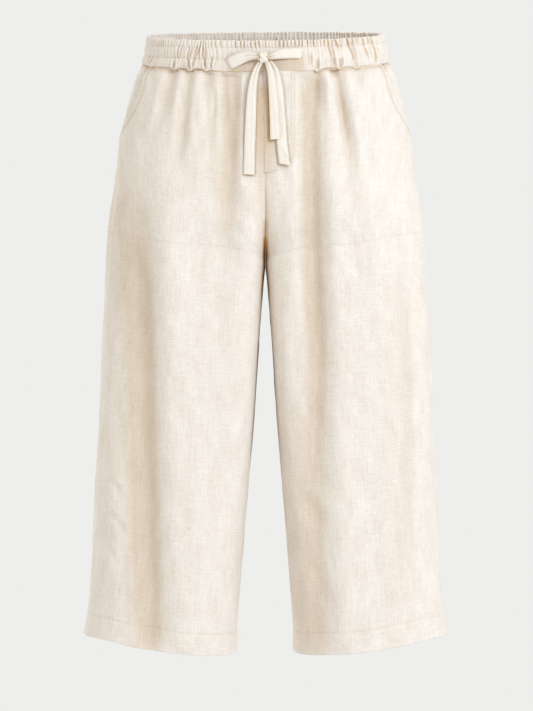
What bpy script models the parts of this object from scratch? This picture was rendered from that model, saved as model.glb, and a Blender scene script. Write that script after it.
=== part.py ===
"""Three-quarter-length linen trousers with a gathered elastic waist, filled out and empty.

Metres, +Z up, the front faces -Y, +X is the wearer's left. The origin is the middle of
the waist opening, where a wearer's waist holds the garment. The cloth is a family of
level sections: each leg's section is a rounded outline from its inner to its outer side,
the two legs' sections are cut at the centre plane above the crotch, and soft vertical
folds are pressed into them.
"""
import math

import bmesh
import bpy
import numpy as np

COLLECTION = "linen_trousers"

# Cloth and seams
CLOTH = 0.0014                  # one layer of washed linen with its crumple
SEAM_GAP = 0.0003
LEFT, RIGHT = 1, -1             # the wearer's sides
FRONT, BACK = -1, 1

# Heights of the outer silhouette
WAIST_EDGE = 0.021
HEADER_SEAM = 0.0065            # upper stitch row of the waistband
MIDDLE_SEAM = -0.0075           # lower stitch row of the waistband
WAIST_SEAM = -0.0195
MOUTH_END = -0.117              # lower end of the pocket mouths
CROTCH = -0.276
HEM_STITCH = -0.731
HEM_EDGE = -0.758

# The waist slopes down to the front, and the hems down to the inner sides
WAIST_SLOPE = 0.20
WAIST_ROLL = 0.008
WAIST_SLOPE_ENDS = -0.25
HEM_ROLL = 0.103
HEM_SLOPE = 0.04
HEM_SLOPE_STARTS = -0.35

# Sections of one leg, from the waist down
SECTION_COLUMNS = ("level", "outer", "gap", "front", "back", "outer_power", "inner_power")
SECTIONS = (
    (0.0210, 0.1525, 0.0000, 0.0930, 0.0930, 2.10, 2.10),
    (-0.0195, 0.1612, 0.0000, 0.0985, 0.0990, 2.10, 2.10),
    (-0.0320, 0.1678, 0.0000, 0.1010, 0.1030, 2.10, 2.15),
    (-0.0500, 0.1732, 0.0000, 0.1040, 0.1080, 2.10, 2.25),
    (-0.0800, 0.1815, 0.0000, 0.1075, 0.1155, 2.10, 2.40),
    (-0.1170, 0.1905, 0.0000, 0.1100, 0.1225, 2.15, 2.60),
    (-0.1600, 0.1937, 0.0000, 0.1110, 0.1265, 2.20, 2.90),
    (-0.2100, 0.2005, 0.0000, 0.1110, 0.1260, 2.25, 3.10),
    (-0.2760, 0.2055, 0.0000, 0.1090, 0.1200, 2.30, 3.20),
    (-0.3770, 0.2120, 0.0078, 0.1020, 0.1090, 2.30, 2.70),
    (-0.4550, 0.2150, 0.0135, 0.0960, 0.1010, 2.25, 2.50),
    (-0.6110, 0.2220, 0.0267, 0.0890, 0.0925, 2.20, 2.30),
    (-0.7000, 0.2275, 0.0345, 0.0870, 0.0895, 2.20, 2.20),
    (-0.7600, 0.2337, 0.0375, 0.0870, 0.0885, 2.20, 2.20),
)

# Height above the crotch at which the hips' single section starts to part into two legs,
# which rounds the rise seam into a J, a longer one behind
PARTING = {FRONT: 0.176, BACK: 0.230}

# Slanted pocket mouths, as an angle round the leg from its side seam
MOUTH_ANGLE = math.radians(28.0)
MOUTH_POWER = 2.2
MOUTH_GAPE = 0.0022
MOUTH_GAPE_ANGLE = math.radians(7.0)
MOUTH_GAPE_POWER = 0.8          # the mouth gapes most above its middle
FACING_MARKS = (0.0, 0.1, 0.32, 0.64, 1.0)      # grid lines, from the side seam to the mouth
FACING_UNDERLAP = math.radians(7.0)
FACING_RECESS = 0.0026
FACING_TUCK_STARTS = 0.82       # below this share of the mouth the facing slips behind the front
FACING_LEAST_ANGLE = math.radians(1.0)

# Grid of the panels
FRONT_COLUMNS = 24
BACK_COLUMNS = 18
MOUTH_ROWS = 5
RISE_ROWS = 11
LEG_ROWS = 8
CROTCH_ROW_OUTER = -0.250
RUN_SAMPLES = 401               # points at which a curve's length is measured

# Soft folds: a trough from top to bottom, sideways bow at its middle, half width, depth,
# and the shares of its length over which it fades in and out
FOLD_COLUMNS = ("top_x", "bottom_x", "top", "bottom", "bow", "width", "depth", "fade_in", "fade_out")
FOLDS = {
    FRONT: (
        (-0.143, -0.136, -0.190, -0.860, -0.010, 0.017, 0.0080, 0.30, 0.40),
        (-0.116, -0.134, -0.0195, -0.150, 0.000, 0.008, 0.0050, 0.00, 0.70),
        (-0.096, -0.111, -0.0195, -0.165, 0.000, 0.008, 0.0045, 0.00, 0.70),
        (-0.076, -0.078, -0.0195, -0.080, 0.000, 0.006, 0.0030, 0.00, 0.80),
        (-0.038, -0.036, -0.0195, -0.200, 0.000, 0.013, 0.0045, 0.30, 0.50),
        (0.066, 0.083, -0.0195, -0.690, -0.006, 0.014, 0.0080, 0.04, 0.45),
        (0.094, 0.119, -0.0195, -0.160, 0.003, 0.008, 0.0065, 0.00, 0.75),
        (0.054, 0.055, -0.0195, -0.070, 0.000, 0.006, 0.0030, 0.00, 0.80),
        (0.117, 0.124, -0.0195, -0.075, 0.000, 0.006, 0.0030, 0.00, 0.80),
        (0.176, 0.184, -0.260, -0.740, 0.004, 0.009, 0.0028, 0.30, 0.30),
    ),
    BACK: (
        (-0.128, -0.142, -0.150, -0.860, -0.006, 0.017, 0.0075, 0.30, 0.40),
        (-0.064, -0.090, -0.0195, -0.560, 0.004, 0.015, 0.0065, 0.03, 0.55),
        (-0.118, -0.132, -0.0195, -0.150, 0.000, 0.008, 0.0050, 0.00, 0.70),
        (-0.092, -0.102, -0.0195, -0.130, 0.000, 0.008, 0.0045, 0.00, 0.75),
        (-0.034, -0.038, -0.0195, -0.140, 0.000, 0.008, 0.0045, 0.00, 0.75),
        (0.028, 0.031, -0.0195, -0.120, 0.000, 0.008, 0.0040, 0.00, 0.75),
        (0.056, 0.076, -0.0195, -0.480, 0.005, 0.014, 0.0060, 0.03, 0.60),
        (0.084, 0.093, -0.0195, -0.150, 0.000, 0.008, 0.0045, 0.00, 0.75),
        (0.112, 0.126, -0.0195, -0.170, 0.000, 0.009, 0.0055, 0.00, 0.70),
        (0.134, 0.127, -0.200, -0.860, 0.007, 0.018, 0.0075, 0.35, 0.40),
    ),
}
SHOULDER_REACH = 1.9            # ridges beside a trough, in its half widths
SHOULDER_RISE = 0.35

# Waistband
GATHERS = 60                    # in the front half, and again behind
BAND_WALL = 0.0030              # outer cloth, elastic and inner cloth
BAND_STAND = 0.0012
BAND_COLUMNS = ("level", "stand", "wave")
BAND_ROWS = (
    (WAIST_EDGE, 0.0000, 0.0013),
    (HEADER_SEAM, -0.0006, 0.0008),
    (-0.0005, 0.0012, 0.0012),
    (MIDDLE_SEAM, 0.0000, 0.0009),
    (WAIST_SEAM, 0.0000, 0.0010),
)
PLAIN_HALF = 0.044              # ungathered stretch between the drawstring's buttonholes
PLAIN_FADE = 0.010

# Mock fly, stitched on the left front along the centre
FLY_WIDTH = 0.0375
FLY_LOWER_WIDTH = 0.020
FLY_ROWS = 5
FLY_COLUMNS = 4
FLY_WALL = 0.0010
FLY_STAND = 0.0008              # off the front's facets, whose columns it crosses

# Turned-up hems, inside the legs
TURNUP_WALL = 0.0012
TURNUP_STAND = 0.0006           # off the inside of the panels

# Drawstring: flat linen tape, its knot, two short runs from the buttonholes and the tails
TAPE = 0.0012
KNOT_CENTRE = (-0.0024, -0.1033, -0.0222)
KNOT_HALF = (0.0062, 0.0042, 0.0058)
TAPE_COLUMNS = ("x", "y", "z", "width", "lean")
RUNS = {
    "drawstring_run_left": (
        (0.0440, -0.0958, -0.0158, 0.0126, 0.05),
        (0.0310, -0.0994, -0.0166, 0.0122, 0.00),
        (0.0190, -0.1025, -0.0178, 0.0106, -0.10),
        (0.0110, -0.1042, -0.0200, 0.0080, -0.20),
        (0.0038, -0.1046, -0.0214, 0.0060, -0.25),
    ),
    "drawstring_run_right": (
        (-0.0455, -0.0971, -0.0290, 0.0136, -0.45),
        (-0.0370, -0.1000, -0.0252, 0.0136, -0.40),
        (-0.0270, -0.1020, -0.0214, 0.0126, -0.25),
        (-0.0170, -0.1040, -0.0196, 0.0100, -0.05),
        (-0.0086, -0.1046, -0.0204, 0.0066, 0.00),
    ),
}
TAILS = {
    "drawstring_tail_right": (
        (-0.0062, -0.1046, -0.0280, 0.0070),
        (-0.0116, -0.1072, -0.0390, 0.0080),
        (-0.0150, -0.1095, -0.0530, 0.0098),
        (-0.0168, -0.1110, -0.0680, 0.0112),
        (-0.0178, -0.1123, -0.0850, 0.0122),
        (-0.0185, -0.1133, -0.1030, 0.0128),
        (-0.0192, -0.1138, -0.1210, 0.0130),
        (-0.0198, -0.1141, -0.1390, 0.0132),
        (-0.0203, -0.1143, -0.1560, 0.0134),
        (-0.0206, -0.1144, -0.1700, 0.0136),
    ),
    "drawstring_tail_middle": (
        (0.0024, -0.1050, -0.0277, 0.0066),
        (0.0064, -0.1088, -0.0400, 0.0080),
        (0.0086, -0.1116, -0.0560, 0.0094),
        (0.0099, -0.1133, -0.0720, 0.0104),
        (0.0109, -0.1147, -0.0880, 0.0112),
        (0.0117, -0.1157, -0.1040, 0.0116),
        (0.0121, -0.1163, -0.1180, 0.0118),
        (0.0122, -0.1165, -0.1260, 0.0118),
    ),
    "drawstring_tail_left": (
        (0.0056, -0.1031, -0.0262, 0.0062),
        (0.0120, -0.1056, -0.0376, 0.0084),
        (0.0150, -0.1082, -0.0510, 0.0102),
        (0.0166, -0.1100, -0.0660, 0.0116),
        (0.0178, -0.1114, -0.0820, 0.0122),
        (0.0188, -0.1126, -0.0990, 0.0126),
        (0.0198, -0.1138, -0.1150, 0.0128),
        (0.0208, -0.1147, -0.1300, 0.0128),
        (0.0224, -0.1153, -0.1440, 0.0130),
        (0.0242, -0.1156, -0.1575, 0.0134),
    ),
}

LINEN = (0.78, 0.70, 0.58)
TAPE_LINEN = (0.86, 0.80, 0.70)


SECTION_TABLE = np.array(SECTIONS)


def smoothstep(low, high, value):
    share = np.clip((value - low) / (high - low), 0.0, 1.0)
    return share * share * (3.0 - 2.0 * share)


def section_value(level, name):
    """A section column at any level, on a smooth curve through the table's rows."""
    marks = -SECTION_TABLE[:, 0]
    values = SECTION_TABLE[:, SECTION_COLUMNS.index(name)]
    slopes = np.gradient(values, marks)
    depth = np.clip(-level, marks[0], marks[-1])
    step = np.clip(np.searchsorted(marks, depth) - 1, 0, len(marks) - 2)
    span = marks[step + 1] - marks[step]
    share = (depth - marks[step]) / span
    rest = 1.0 - share
    ends = values[step] * (1 + 2 * share) * rest ** 2 + values[step + 1] * (1 + 2 * rest) * share ** 2
    return ends + span * share * rest * (slopes[step] * rest - slopes[step + 1] * share)


def leg_extent(level, face):
    """Middle and half width of a leg's section; above the crotch it passes the centre plane."""
    outer = section_value(level, "outer")
    parted = smoothstep(CROTCH + PARTING[face], CROTCH, level)
    inner = np.where(level > CROTCH, outer * (parted - 1.0) / (parted + 1.0), section_value(level, "gap"))
    return (outer + inner) / 2, (outer - inner) / 2


def centre_angle(level, face):
    """Angle at which the section meets the centre plane, or the inseam below the crotch."""
    middle, half = leg_extent(level, face)
    ratio = np.clip(middle / half, 0.0, 1.0)
    angle = math.pi - np.arccos(ratio ** (section_value(level, "inner_power") / 2))
    return np.where(level > CROTCH, angle, math.pi)


def fold_height(x, level, face):
    """Height of the folds over the plain cloth at signed x."""
    total = np.zeros(np.broadcast(x, level).shape)
    for row in FOLDS[face]:
        fold = dict(zip(FOLD_COLUMNS, row))
        share = (fold["top"] - level) / (fold["top"] - fold["bottom"])
        strength = np.where((share >= 0.0) & (share <= 1.0), 1.0, 0.0)
        if fold["fade_in"] > 0:
            strength = strength * smoothstep(0.0, fold["fade_in"], share)
        if fold["fade_out"] > 0:
            strength = strength * (1.0 - smoothstep(1.0 - fold["fade_out"], 1.0, share))
        centre = fold["top_x"] + (fold["bottom_x"] - fold["top_x"]) * share
        centre = centre + fold["bow"] * 4 * share * (1 - share)
        across = (x - centre) / fold["width"]
        ridges = np.exp(-(across - SHOULDER_REACH) ** 2) + np.exp(-(across + SHOULDER_REACH) ** 2)
        total = total + fold["depth"] * strength * (SHOULDER_RISE * ridges - np.exp(-across ** 2))
    return total


def cloth(side, face, angle, level, lift=0.0, folded=True):
    """Points of the outer cloth, or lifted off it: arrays of angle and level to x, y, z."""
    angle, level = np.broadcast_arrays(np.asarray(angle, float), np.asarray(level, float))
    middle, half = leg_extent(level, face)
    depth = section_value(level, "front" if face == FRONT else "back")
    cosine, sine = np.cos(angle), np.abs(np.sin(angle))
    outer_side = cosine >= 0
    power = np.where(outer_side, section_value(level, "outer_power"), section_value(level, "inner_power"))
    across = np.sign(cosine) * np.abs(cosine) ** (2 / power)
    away = sine ** (2 / power)
    x = middle + half * across
    y = face * depth * away
    normal_x = np.sign(cosine) * np.abs(across) ** (power - 1) / half
    normal_y = face * away ** (power - 1) / depth
    length = np.hypot(normal_x, normal_y)
    rise = lift + (fold_height(side * x, level, face) if folded else 0.0)
    x = x + rise * normal_x / length
    y = y + rise * normal_y / length
    waist = smoothstep(WAIST_SLOPE_ENDS, WAIST_SEAM, level)
    hem = 1.0 - smoothstep(HEM_STITCH, HEM_SLOPE_STARTS, level)
    z = level + waist * (WAIST_SLOPE * y + WAIST_ROLL * side * x)
    z = z + hem * (HEM_SLOPE * y - HEM_ROLL * (section_value(level, "outer") - x))
    return np.stack([side * x, y, z], axis=-1)


def mouth_share(level):
    return (WAIST_SEAM - level) / (WAIST_SEAM - MOUTH_END)


def mouth_angle(level):
    return MOUTH_ANGLE * (1.0 - np.clip(mouth_share(level), 0.0, 1.0) ** MOUTH_POWER)


def gape(beyond_edge, level):
    """How far the cloth beside a pocket mouth stands off."""
    opened = np.sin(math.pi * np.clip(mouth_share(level), 0.0, 1.0) ** MOUTH_GAPE_POWER)
    return MOUTH_GAPE * opened * np.exp(-(beyond_edge / MOUTH_GAPE_ANGLE) ** 2)


def run_along(points):
    """Distance along a line of points, from its first."""
    steps = np.linalg.norm(np.diff(points, axis=0), axis=1)
    return np.concatenate(([0.0], np.cumsum(steps)))


def row_levels(face):
    """Levels of each grid row at its inner and its outer end.

    The inner ends are evenly spaced along the rise seam's own curve, and the outer ends
    down the side seam, with a row at the end of the pocket mouth and at the hem's stitches.
    """
    top = WAIST_SEAM - SEAM_GAP
    fine = CROTCH + (top - CROTCH) * (1.0 - np.linspace(0.0, 1.0, RUN_SAMPLES)) ** 2
    run = run_along(cloth(LEFT, face, centre_angle(fine, face), fine, folded=False))
    rise = np.interp(np.linspace(0.0, run[-1], RISE_ROWS + 1), run, fine)
    leg = np.linspace(CROTCH, HEM_STITCH, LEG_ROWS + 1)[1:]
    mouth = np.linspace(top, MOUTH_END, MOUTH_ROWS + 1)
    hip = np.linspace(MOUTH_END, CROTCH_ROW_OUTER, RISE_ROWS - MOUTH_ROWS + 1)[1:]
    outseam = np.linspace(CROTCH_ROW_OUTER, HEM_STITCH, LEG_ROWS + 1)[1:]
    return np.concatenate((rise, leg, [HEM_EDGE])), np.concatenate((mouth, hip, outseam, [HEM_EDGE]))


def panel_points(side, face, share, lift=0.0, folded=True):
    """Rows of points over a front or back, at shares of the way from its inner edge."""
    inner, outer = row_levels(face)
    start = centre_angle(inner, face)
    end = mouth_angle(outer) if face == FRONT else np.zeros(len(outer))
    level = inner[:, None] + (outer - inner)[:, None] * smoothstep(0.0, 1.0, share)
    angle = start[:, None] + (end - start)[:, None] * share
    if face == FRONT:
        lift = lift + gape(angle - end[:, None], level)
    points = cloth(side, face, angle, level, lift, folded)
    points[..., 0] = side * np.maximum(side * points[..., 0], SEAM_GAP / 2)
    points[inner <= CROTCH, 0, 1] = face * SEAM_GAP / 2
    points[end == 0.0, -1, 1] = face * SEAM_GAP / 2
    return points


def panel_grid(side, face, lift=0.0):
    """The panel's points in evenly spaced columns, from the centre or inseam to the side seam."""
    columns = FRONT_COLUMNS if face == FRONT else BACK_COLUMNS
    fine = np.linspace(0.0, 1.0, RUN_SAMPLES)
    runs = [run_along(row) for row in panel_points(side, face, fine, folded=False)]
    share = np.array([np.interp(np.linspace(0.0, run[-1], columns + 1), run, fine) for run in runs])
    return panel_points(side, face, share, lift)


def linen(name, colour, roughness=0.9):
    material = bpy.data.materials.new(name)
    material.use_nodes = True
    shader = material.node_tree.nodes["Principled BSDF"]
    shader.inputs["Base Color"].default_value = (*colour, 1.0)
    shader.inputs["Roughness"].default_value = roughness
    shader.inputs["Metallic"].default_value = 0.0
    material.diffuse_color = (*colour, 1.0)
    return material


def add_object(name, mesh, collection, colour):
    mesh.materials.append(linen(name + "_cloth", colour))
    thing = bpy.data.objects.new(name, mesh)
    collection.objects.link(thing)
    return thing


def grid_faces(height, width, ring, first=0):
    """Quads over a grid of points, numbered from first row by row."""
    faces = []
    for row in range(height - 1):
        for column in range(width if ring else width - 1):
            here, follows = first + row * width + column, first + row * width + (column + 1) % width
            faces.append((here, follows, follows + width, here + width))
    return faces


def turn(face):
    """The face turned round on its first corner, so that it keeps its diagonal."""
    return face[0], *face[:0:-1]


def wall(name, outer, inner, collection, colour, turned=False, ring=False):
    """A cloth wall: a loft between the grids of its outer and inner points, with its rims."""
    height, width = outer.shape[:2]
    size = height * width
    faces = grid_faces(height, width, ring)
    faces += [turn(face) for face in grid_faces(height, width, ring, size)]
    top = list(range(width)) + ([0] if ring else [])
    bottom = [index + size - width for index in top]
    sides = [] if ring else [list(range(0, size, width)), list(range(width - 1, size, width))[::-1]]
    for edge in (top[::-1], bottom, *sides):
        faces += [(a, b, b + size, a + size) for a, b in zip(edge, edge[1:])]
    if turned:
        faces = [turn(face) for face in faces]
    mesh = bpy.data.meshes.new(name)
    mesh.from_pydata(np.concatenate((outer.reshape(-1, 3), inner.reshape(-1, 3))).tolist(), [], faces)
    mesh.set_sharp_from_angle(angle=math.radians(60))
    return add_object(name, mesh, collection, colour)


def make_panels(collection):
    names = {(FRONT, LEFT): "front_left", (FRONT, RIGHT): "front_right",
             (BACK, LEFT): "back_left", (BACK, RIGHT): "back_right"}
    for (face, side), name in names.items():
        outer, inner = panel_grid(side, face), panel_grid(side, face, -CLOTH)
        wall(name, outer, inner, collection, LINEN, turned=side * face < 0)


def make_turnups(collection):
    """The hem allowances, folded up inside the legs to the line of stitches."""
    for side, name in ((LEFT, "hem_turnup_left"), (RIGHT, "hem_turnup_right")):
        grids = []
        for inward in (CLOTH + TURNUP_STAND, CLOTH + TURNUP_STAND + TURNUP_WALL):
            front = panel_grid(side, FRONT, -inward)[-2:]
            back = panel_grid(side, BACK, -inward)[-2:]
            front[:, (0, -1), 1] = 0.0
            grids.append(np.concatenate((front, back[:, -2:0:-1]), axis=1))
        wall(name, *grids, collection, LINEN, turned=side == LEFT, ring=True)


def make_facings(collection):
    """Pocket facings: they fill the cut-away corners and run on under the mouths."""
    level = np.linspace(WAIST_SEAM - SEAM_GAP, MOUTH_END, MOUTH_ROWS + 1)[:, None]
    mouth = mouth_angle(level)
    angle = np.concatenate((mouth * np.array(FACING_MARKS), mouth + FACING_UNDERLAP), axis=1)
    near = smoothstep(0.0, 1.0, angle / np.maximum(mouth, FACING_LEAST_ANGLE))
    tucked = smoothstep(FACING_TUCK_STARTS, 1.0, mouth_share(level))
    recess = FACING_RECESS * np.maximum(near, tucked)
    for side, name in ((LEFT, "pocket_facing_left"), (RIGHT, "pocket_facing_right")):
        grids = [cloth(side, FRONT, angle, level, -recess - inward, folded=False) for inward in (0.0, CLOTH)]
        for grid in grids:
            grid[:, 0, 1] = -SEAM_GAP / 2
        wall(name, *grids, collection, LINEN, turned=side == RIGHT)


def make_fly(collection):
    """The mock fly: read along the left front's own rows, moved out."""
    rows = []
    for index, along in enumerate(panel_grid(LEFT, FRONT)[:FLY_ROWS + 1]):
        width = FLY_WIDTH if index < FLY_ROWS else FLY_LOWER_WIDTH
        marks = np.linspace(SEAM_GAP / 2, width, FLY_COLUMNS + 1)
        depth = np.interp(marks, along[:, 0], along[:, 1]) - FLY_STAND
        height = np.interp(marks, along[:, 0], along[:, 2])
        rows.append(np.stack([marks, depth, height], axis=1))
    inner = np.array(rows)
    wall("fly", inner - (0.0, FLY_WALL, 0.0), inner, collection, LINEN, turned=True)


def band_angles(face):
    """Angles that part half of the waist into equal lengths, two to a gather."""
    fine = np.linspace(0.0, math.pi, RUN_SAMPLES)
    run = run_along(cloth(LEFT, face, fine, WAIST_SEAM, folded=False))
    return np.interp(np.linspace(0.0, run[-1], 2 * GATHERS + 1), run, fine)


def make_waistband(collection):
    """The gathered casing of the elastic, in a front and a back half."""
    level = np.array([row[0] for row in BAND_ROWS])[:, None]
    stand = np.array([row[1] for row in BAND_ROWS])[:, None] + BAND_STAND
    wave = np.array([row[2] for row in BAND_ROWS])[:, None]
    swing = np.where(np.arange(2 * GATHERS + 1) % 2, 1.0, -1.0)
    for face, name in ((FRONT, "waistband_front"), (BACK, "waistband_back")):
        angle = band_angles(face)
        from_middle = np.abs(cloth(LEFT, face, angle, WAIST_SEAM, folded=False)[:, 0])
        plain = (level < HEADER_SEAM) & (face == FRONT)
        gathered = np.where(plain, smoothstep(PLAIN_HALF, PLAIN_HALF + PLAIN_FADE, from_middle), 1.0)
        lift = stand + wave * swing * gathered
        grids = [cloth(LEFT, face, angle, level, lift - inward, folded=False) for inward in (0.0, BAND_WALL)]
        for grid in grids:
            grid[:, (0, -1), 1] = face * SEAM_GAP / 2
        wall(name, *grids, collection, LINEN, turned=face == BACK)


def make_knot(collection):
    mesh = bpy.data.meshes.new("drawstring_knot")
    knot = bmesh.new()
    bmesh.ops.create_uvsphere(knot, u_segments=12, v_segments=8, radius=1.0)
    bmesh.ops.scale(knot, vec=KNOT_HALF, verts=knot.verts)
    bmesh.ops.translate(knot, vec=KNOT_CENTRE, verts=knot.verts)
    knot.to_mesh(mesh)
    knot.free()
    mesh.shade_smooth()
    add_object("drawstring_knot", mesh, collection, TAPE_LINEN)


def tape(name, one_edge, other_edge, collection):
    mesh = bpy.data.meshes.new(name)
    count = len(one_edge)
    mesh.from_pydata([*one_edge, *other_edge], [], grid_faces(2, count, False))
    thing = add_object(name, mesh, collection, TAPE_LINEN)
    solidify = thing.modifiers.new("tape", "SOLIDIFY")
    solidify.thickness = TAPE
    solidify.offset = 0.0
    solidify.use_even_offset = False


def make_tapes(collection):
    """Flat tapes: the runs lie along the waistband, the tails hang from the knot."""
    for name, route in RUNS.items():
        upper = [(x + lean * width / 2, y, z + width / 2) for x, y, z, width, lean in route]
        lower = [(x - lean * width / 2, y, z - width / 2) for x, y, z, width, lean in route]
        tape(name, upper, lower, collection)
    for name, route in TAILS.items():
        left = [(x - width / 2, y, z) for x, y, z, width in route]
        right = [(x + width / 2, y, z) for x, y, z, width in route]
        tape(name, left, right, collection)


def main():
    for thing in list(bpy.data.objects):
        bpy.data.objects.remove(thing, do_unlink=True)
    collection = bpy.data.collections.new(COLLECTION)
    bpy.context.scene.collection.children.link(collection)
    make_waistband(collection)
    make_panels(collection)
    make_facings(collection)
    make_fly(collection)
    make_turnups(collection)
    make_knot(collection)
    make_tapes(collection)


main()
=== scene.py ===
"""Three-quarter-length linen trousers with a gathered elastic waist, as they look.

The cloth is laid as thin shells on the form of the solids, in metres, +Z up, the front
facing -Y and +X the wearer's left. Every shell is worked out from level sections like its
solid's, with the folds pressed into them, and then gets its creases, gathers, seams and
stitches.
"""
import math

import bmesh
import bpy
import numpy as np
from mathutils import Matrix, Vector


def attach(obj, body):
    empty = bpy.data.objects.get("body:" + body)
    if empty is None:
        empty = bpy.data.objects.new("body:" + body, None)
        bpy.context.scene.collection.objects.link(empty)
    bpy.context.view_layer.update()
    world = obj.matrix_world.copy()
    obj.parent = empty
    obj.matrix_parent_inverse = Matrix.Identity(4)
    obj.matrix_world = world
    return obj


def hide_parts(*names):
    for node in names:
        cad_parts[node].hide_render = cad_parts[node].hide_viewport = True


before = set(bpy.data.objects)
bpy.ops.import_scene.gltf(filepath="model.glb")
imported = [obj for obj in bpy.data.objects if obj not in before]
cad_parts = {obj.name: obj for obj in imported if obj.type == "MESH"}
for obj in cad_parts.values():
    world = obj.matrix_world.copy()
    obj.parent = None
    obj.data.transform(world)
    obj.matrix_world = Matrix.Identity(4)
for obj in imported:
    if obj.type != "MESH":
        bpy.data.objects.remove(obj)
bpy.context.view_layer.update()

BODY = "root"

# Sides of the wearer and of the cloth
LEFT, RIGHT = 1, -1
FRONT, BACK = -1, 1

# Camera: level with the middle of the garment, straight in front
CAMERA_AT = (0.0014, -3.2, -0.397)
PHOTO_HEIGHT = 711
FOCAL_PIXELS = 2461
SENSOR = 36.0
FARTHEST = 20.0

# Cloth
SHELL = 0.0009  # one layer of the linen
SEAM_GAP = 0.0002
SEAM_TURN = 0.004  # cloth that turns in at a seam
RISE_TURN_SHARE = 0.45  # at most, of the way to the other side's cloth at the crotch
SEAM_DIP = 0.0011
SEAM_DIP_REACH = 0.0016

# Heights of the outer silhouette
WAIST_EDGE = 0.021
HEADER_SEAM = 0.0103
MIDDLE_SEAM = -0.004
WAIST_SEAM = -0.0195
MOUTH_END = -0.117
CROTCH = -0.276
HEM_STITCH = -0.731
HEM_EDGE = -0.758

# The waist slopes down to the front, and the hems down to the inner sides
WAIST_SLOPE = 0.2
WAIST_ROLL = 0.008
WAIST_SLOPE_ENDS = -0.25
HEM_ROLL = 0.103
HEM_SLOPE = 0.04
HEM_SLOPE_STARTS = -0.35
HEM_CORNER = 0.0042  # the outer corners of the hems round up
HEM_CORNER_AT = 0.03
HEM_CORNER_REACH = 0.032

# Sections of one leg, from the waist down
SECTION_COLUMNS = ("level", "outer", "gap", "front", "back", "outer_power", "inner_power")
SECTIONS = np.array((
    (0.021, 0.1525, 0.0, 0.093, 0.093, 2.1, 2.1),
    (-0.0195, 0.1612, 0.0, 0.0985, 0.099, 2.1, 2.1),
    (-0.032, 0.1678, 0.0, 0.101, 0.103, 2.1, 2.15),
    (-0.05, 0.1732, 0.0, 0.104, 0.108, 2.1, 2.25),
    (-0.08, 0.1815, 0.0, 0.1075, 0.1155, 2.1, 2.4),
    (-0.117, 0.1905, 0.0, 0.11, 0.1225, 2.15, 2.6),
    (-0.16, 0.1937, 0.0, 0.111, 0.1265, 2.2, 2.9),
    (-0.21, 0.2005, 0.0, 0.111, 0.126, 2.25, 3.1),
    (-0.276, 0.2055, 0.0, 0.109, 0.12, 2.3, 6.0),
    (-0.3, 0.2071, 0.003, 0.1078, 0.1178, 2.3, 6.2),
    (-0.33, 0.2091, 0.0052, 0.1056, 0.1142, 2.3, 6.2),
    (-0.377, 0.212, 0.0084, 0.102, 0.109, 2.3, 6.0),
    (-0.455, 0.215, 0.0135, 0.096, 0.101, 2.25, 5.4),
    (-0.611, 0.222, 0.0267, 0.089, 0.0925, 2.2, 4.2),
    (-0.7, 0.2275, 0.0345, 0.087, 0.0895, 2.2, 3.3),
    (-0.76, 0.2337, 0.0375, 0.087, 0.0885, 2.2, 2.7),
))
PARTING = {FRONT: 0.176, BACK: 0.23}

# Long soft folds of the solids
FOLD_COLUMNS = ("top_x", "bottom_x", "top", "bottom", "bow", "width", "depth", "fade_in", "fade_out")
FOLDS = {
    FRONT: (
        (-0.15, -0.142, -0.19, -0.86, -0.008, 0.018, 0.0066, 0.3, 0.4),
        (-0.116, -0.134, -0.0195, -0.15, 0.0, 0.008, 0.005, 0.0, 0.7),
        (-0.096, -0.111, -0.0195, -0.165, 0.0, 0.008, 0.0045, 0.0, 0.7),
        (-0.076, -0.078, -0.0195, -0.08, 0.0, 0.006, 0.003, 0.0, 0.8),
        (-0.038, -0.036, -0.0195, -0.2, 0.0, 0.013, 0.0045, 0.3, 0.5),
        (0.062, 0.079, -0.0195, -0.69, -0.006, 0.014, 0.0066, 0.04, 0.45),
        (0.088, 0.1105, -0.0195, -0.16, 0.003, 0.008, 0.0065, 0.0, 0.75),
        (0.066, 0.064, -0.0195, -0.075, 0.0, 0.006, 0.003, 0.0, 0.8),
        (0.117, 0.124, -0.0195, -0.075, 0.0, 0.006, 0.003, 0.0, 0.8),
        (0.176, 0.184, -0.26, -0.74, 0.004, 0.009, 0.0028, 0.3, 0.3),
    ),
    BACK: (
        (-0.128, -0.142, -0.15, -0.86, -0.006, 0.017, 0.0075, 0.3, 0.4),
        (-0.064, -0.09, -0.0195, -0.56, 0.004, 0.015, 0.0065, 0.03, 0.55),
        (-0.118, -0.132, -0.0195, -0.15, 0.0, 0.008, 0.005, 0.0, 0.7),
        (-0.092, -0.102, -0.0195, -0.13, 0.0, 0.008, 0.0045, 0.0, 0.75),
        (-0.034, -0.038, -0.0195, -0.14, 0.0, 0.008, 0.0045, 0.0, 0.75),
        (0.028, 0.031, -0.0195, -0.12, 0.0, 0.008, 0.004, 0.0, 0.75),
        (0.056, 0.076, -0.0195, -0.48, 0.005, 0.014, 0.006, 0.03, 0.6),
        (0.084, 0.093, -0.0195, -0.15, 0.0, 0.008, 0.0045, 0.0, 0.75),
        (0.112, 0.126, -0.0195, -0.17, 0.0, 0.009, 0.0055, 0.0, 0.7),
        (0.134, 0.127, -0.2, -0.86, 0.007, 0.018, 0.0075, 0.35, 0.4),
    ),
}
PRESSED_X = (-0.032, -0.026, 0.031, 0.037)  # the hanging tapes keep the cloth flat there
PRESSED_LEVELS = (-0.188, -0.168)
PRESSED_RISE = 0.0014
PRESSED_ROUND = 0.0006
SHOULDER_REACH = 1.9
SHOULDER_RISE = 0.35

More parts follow.
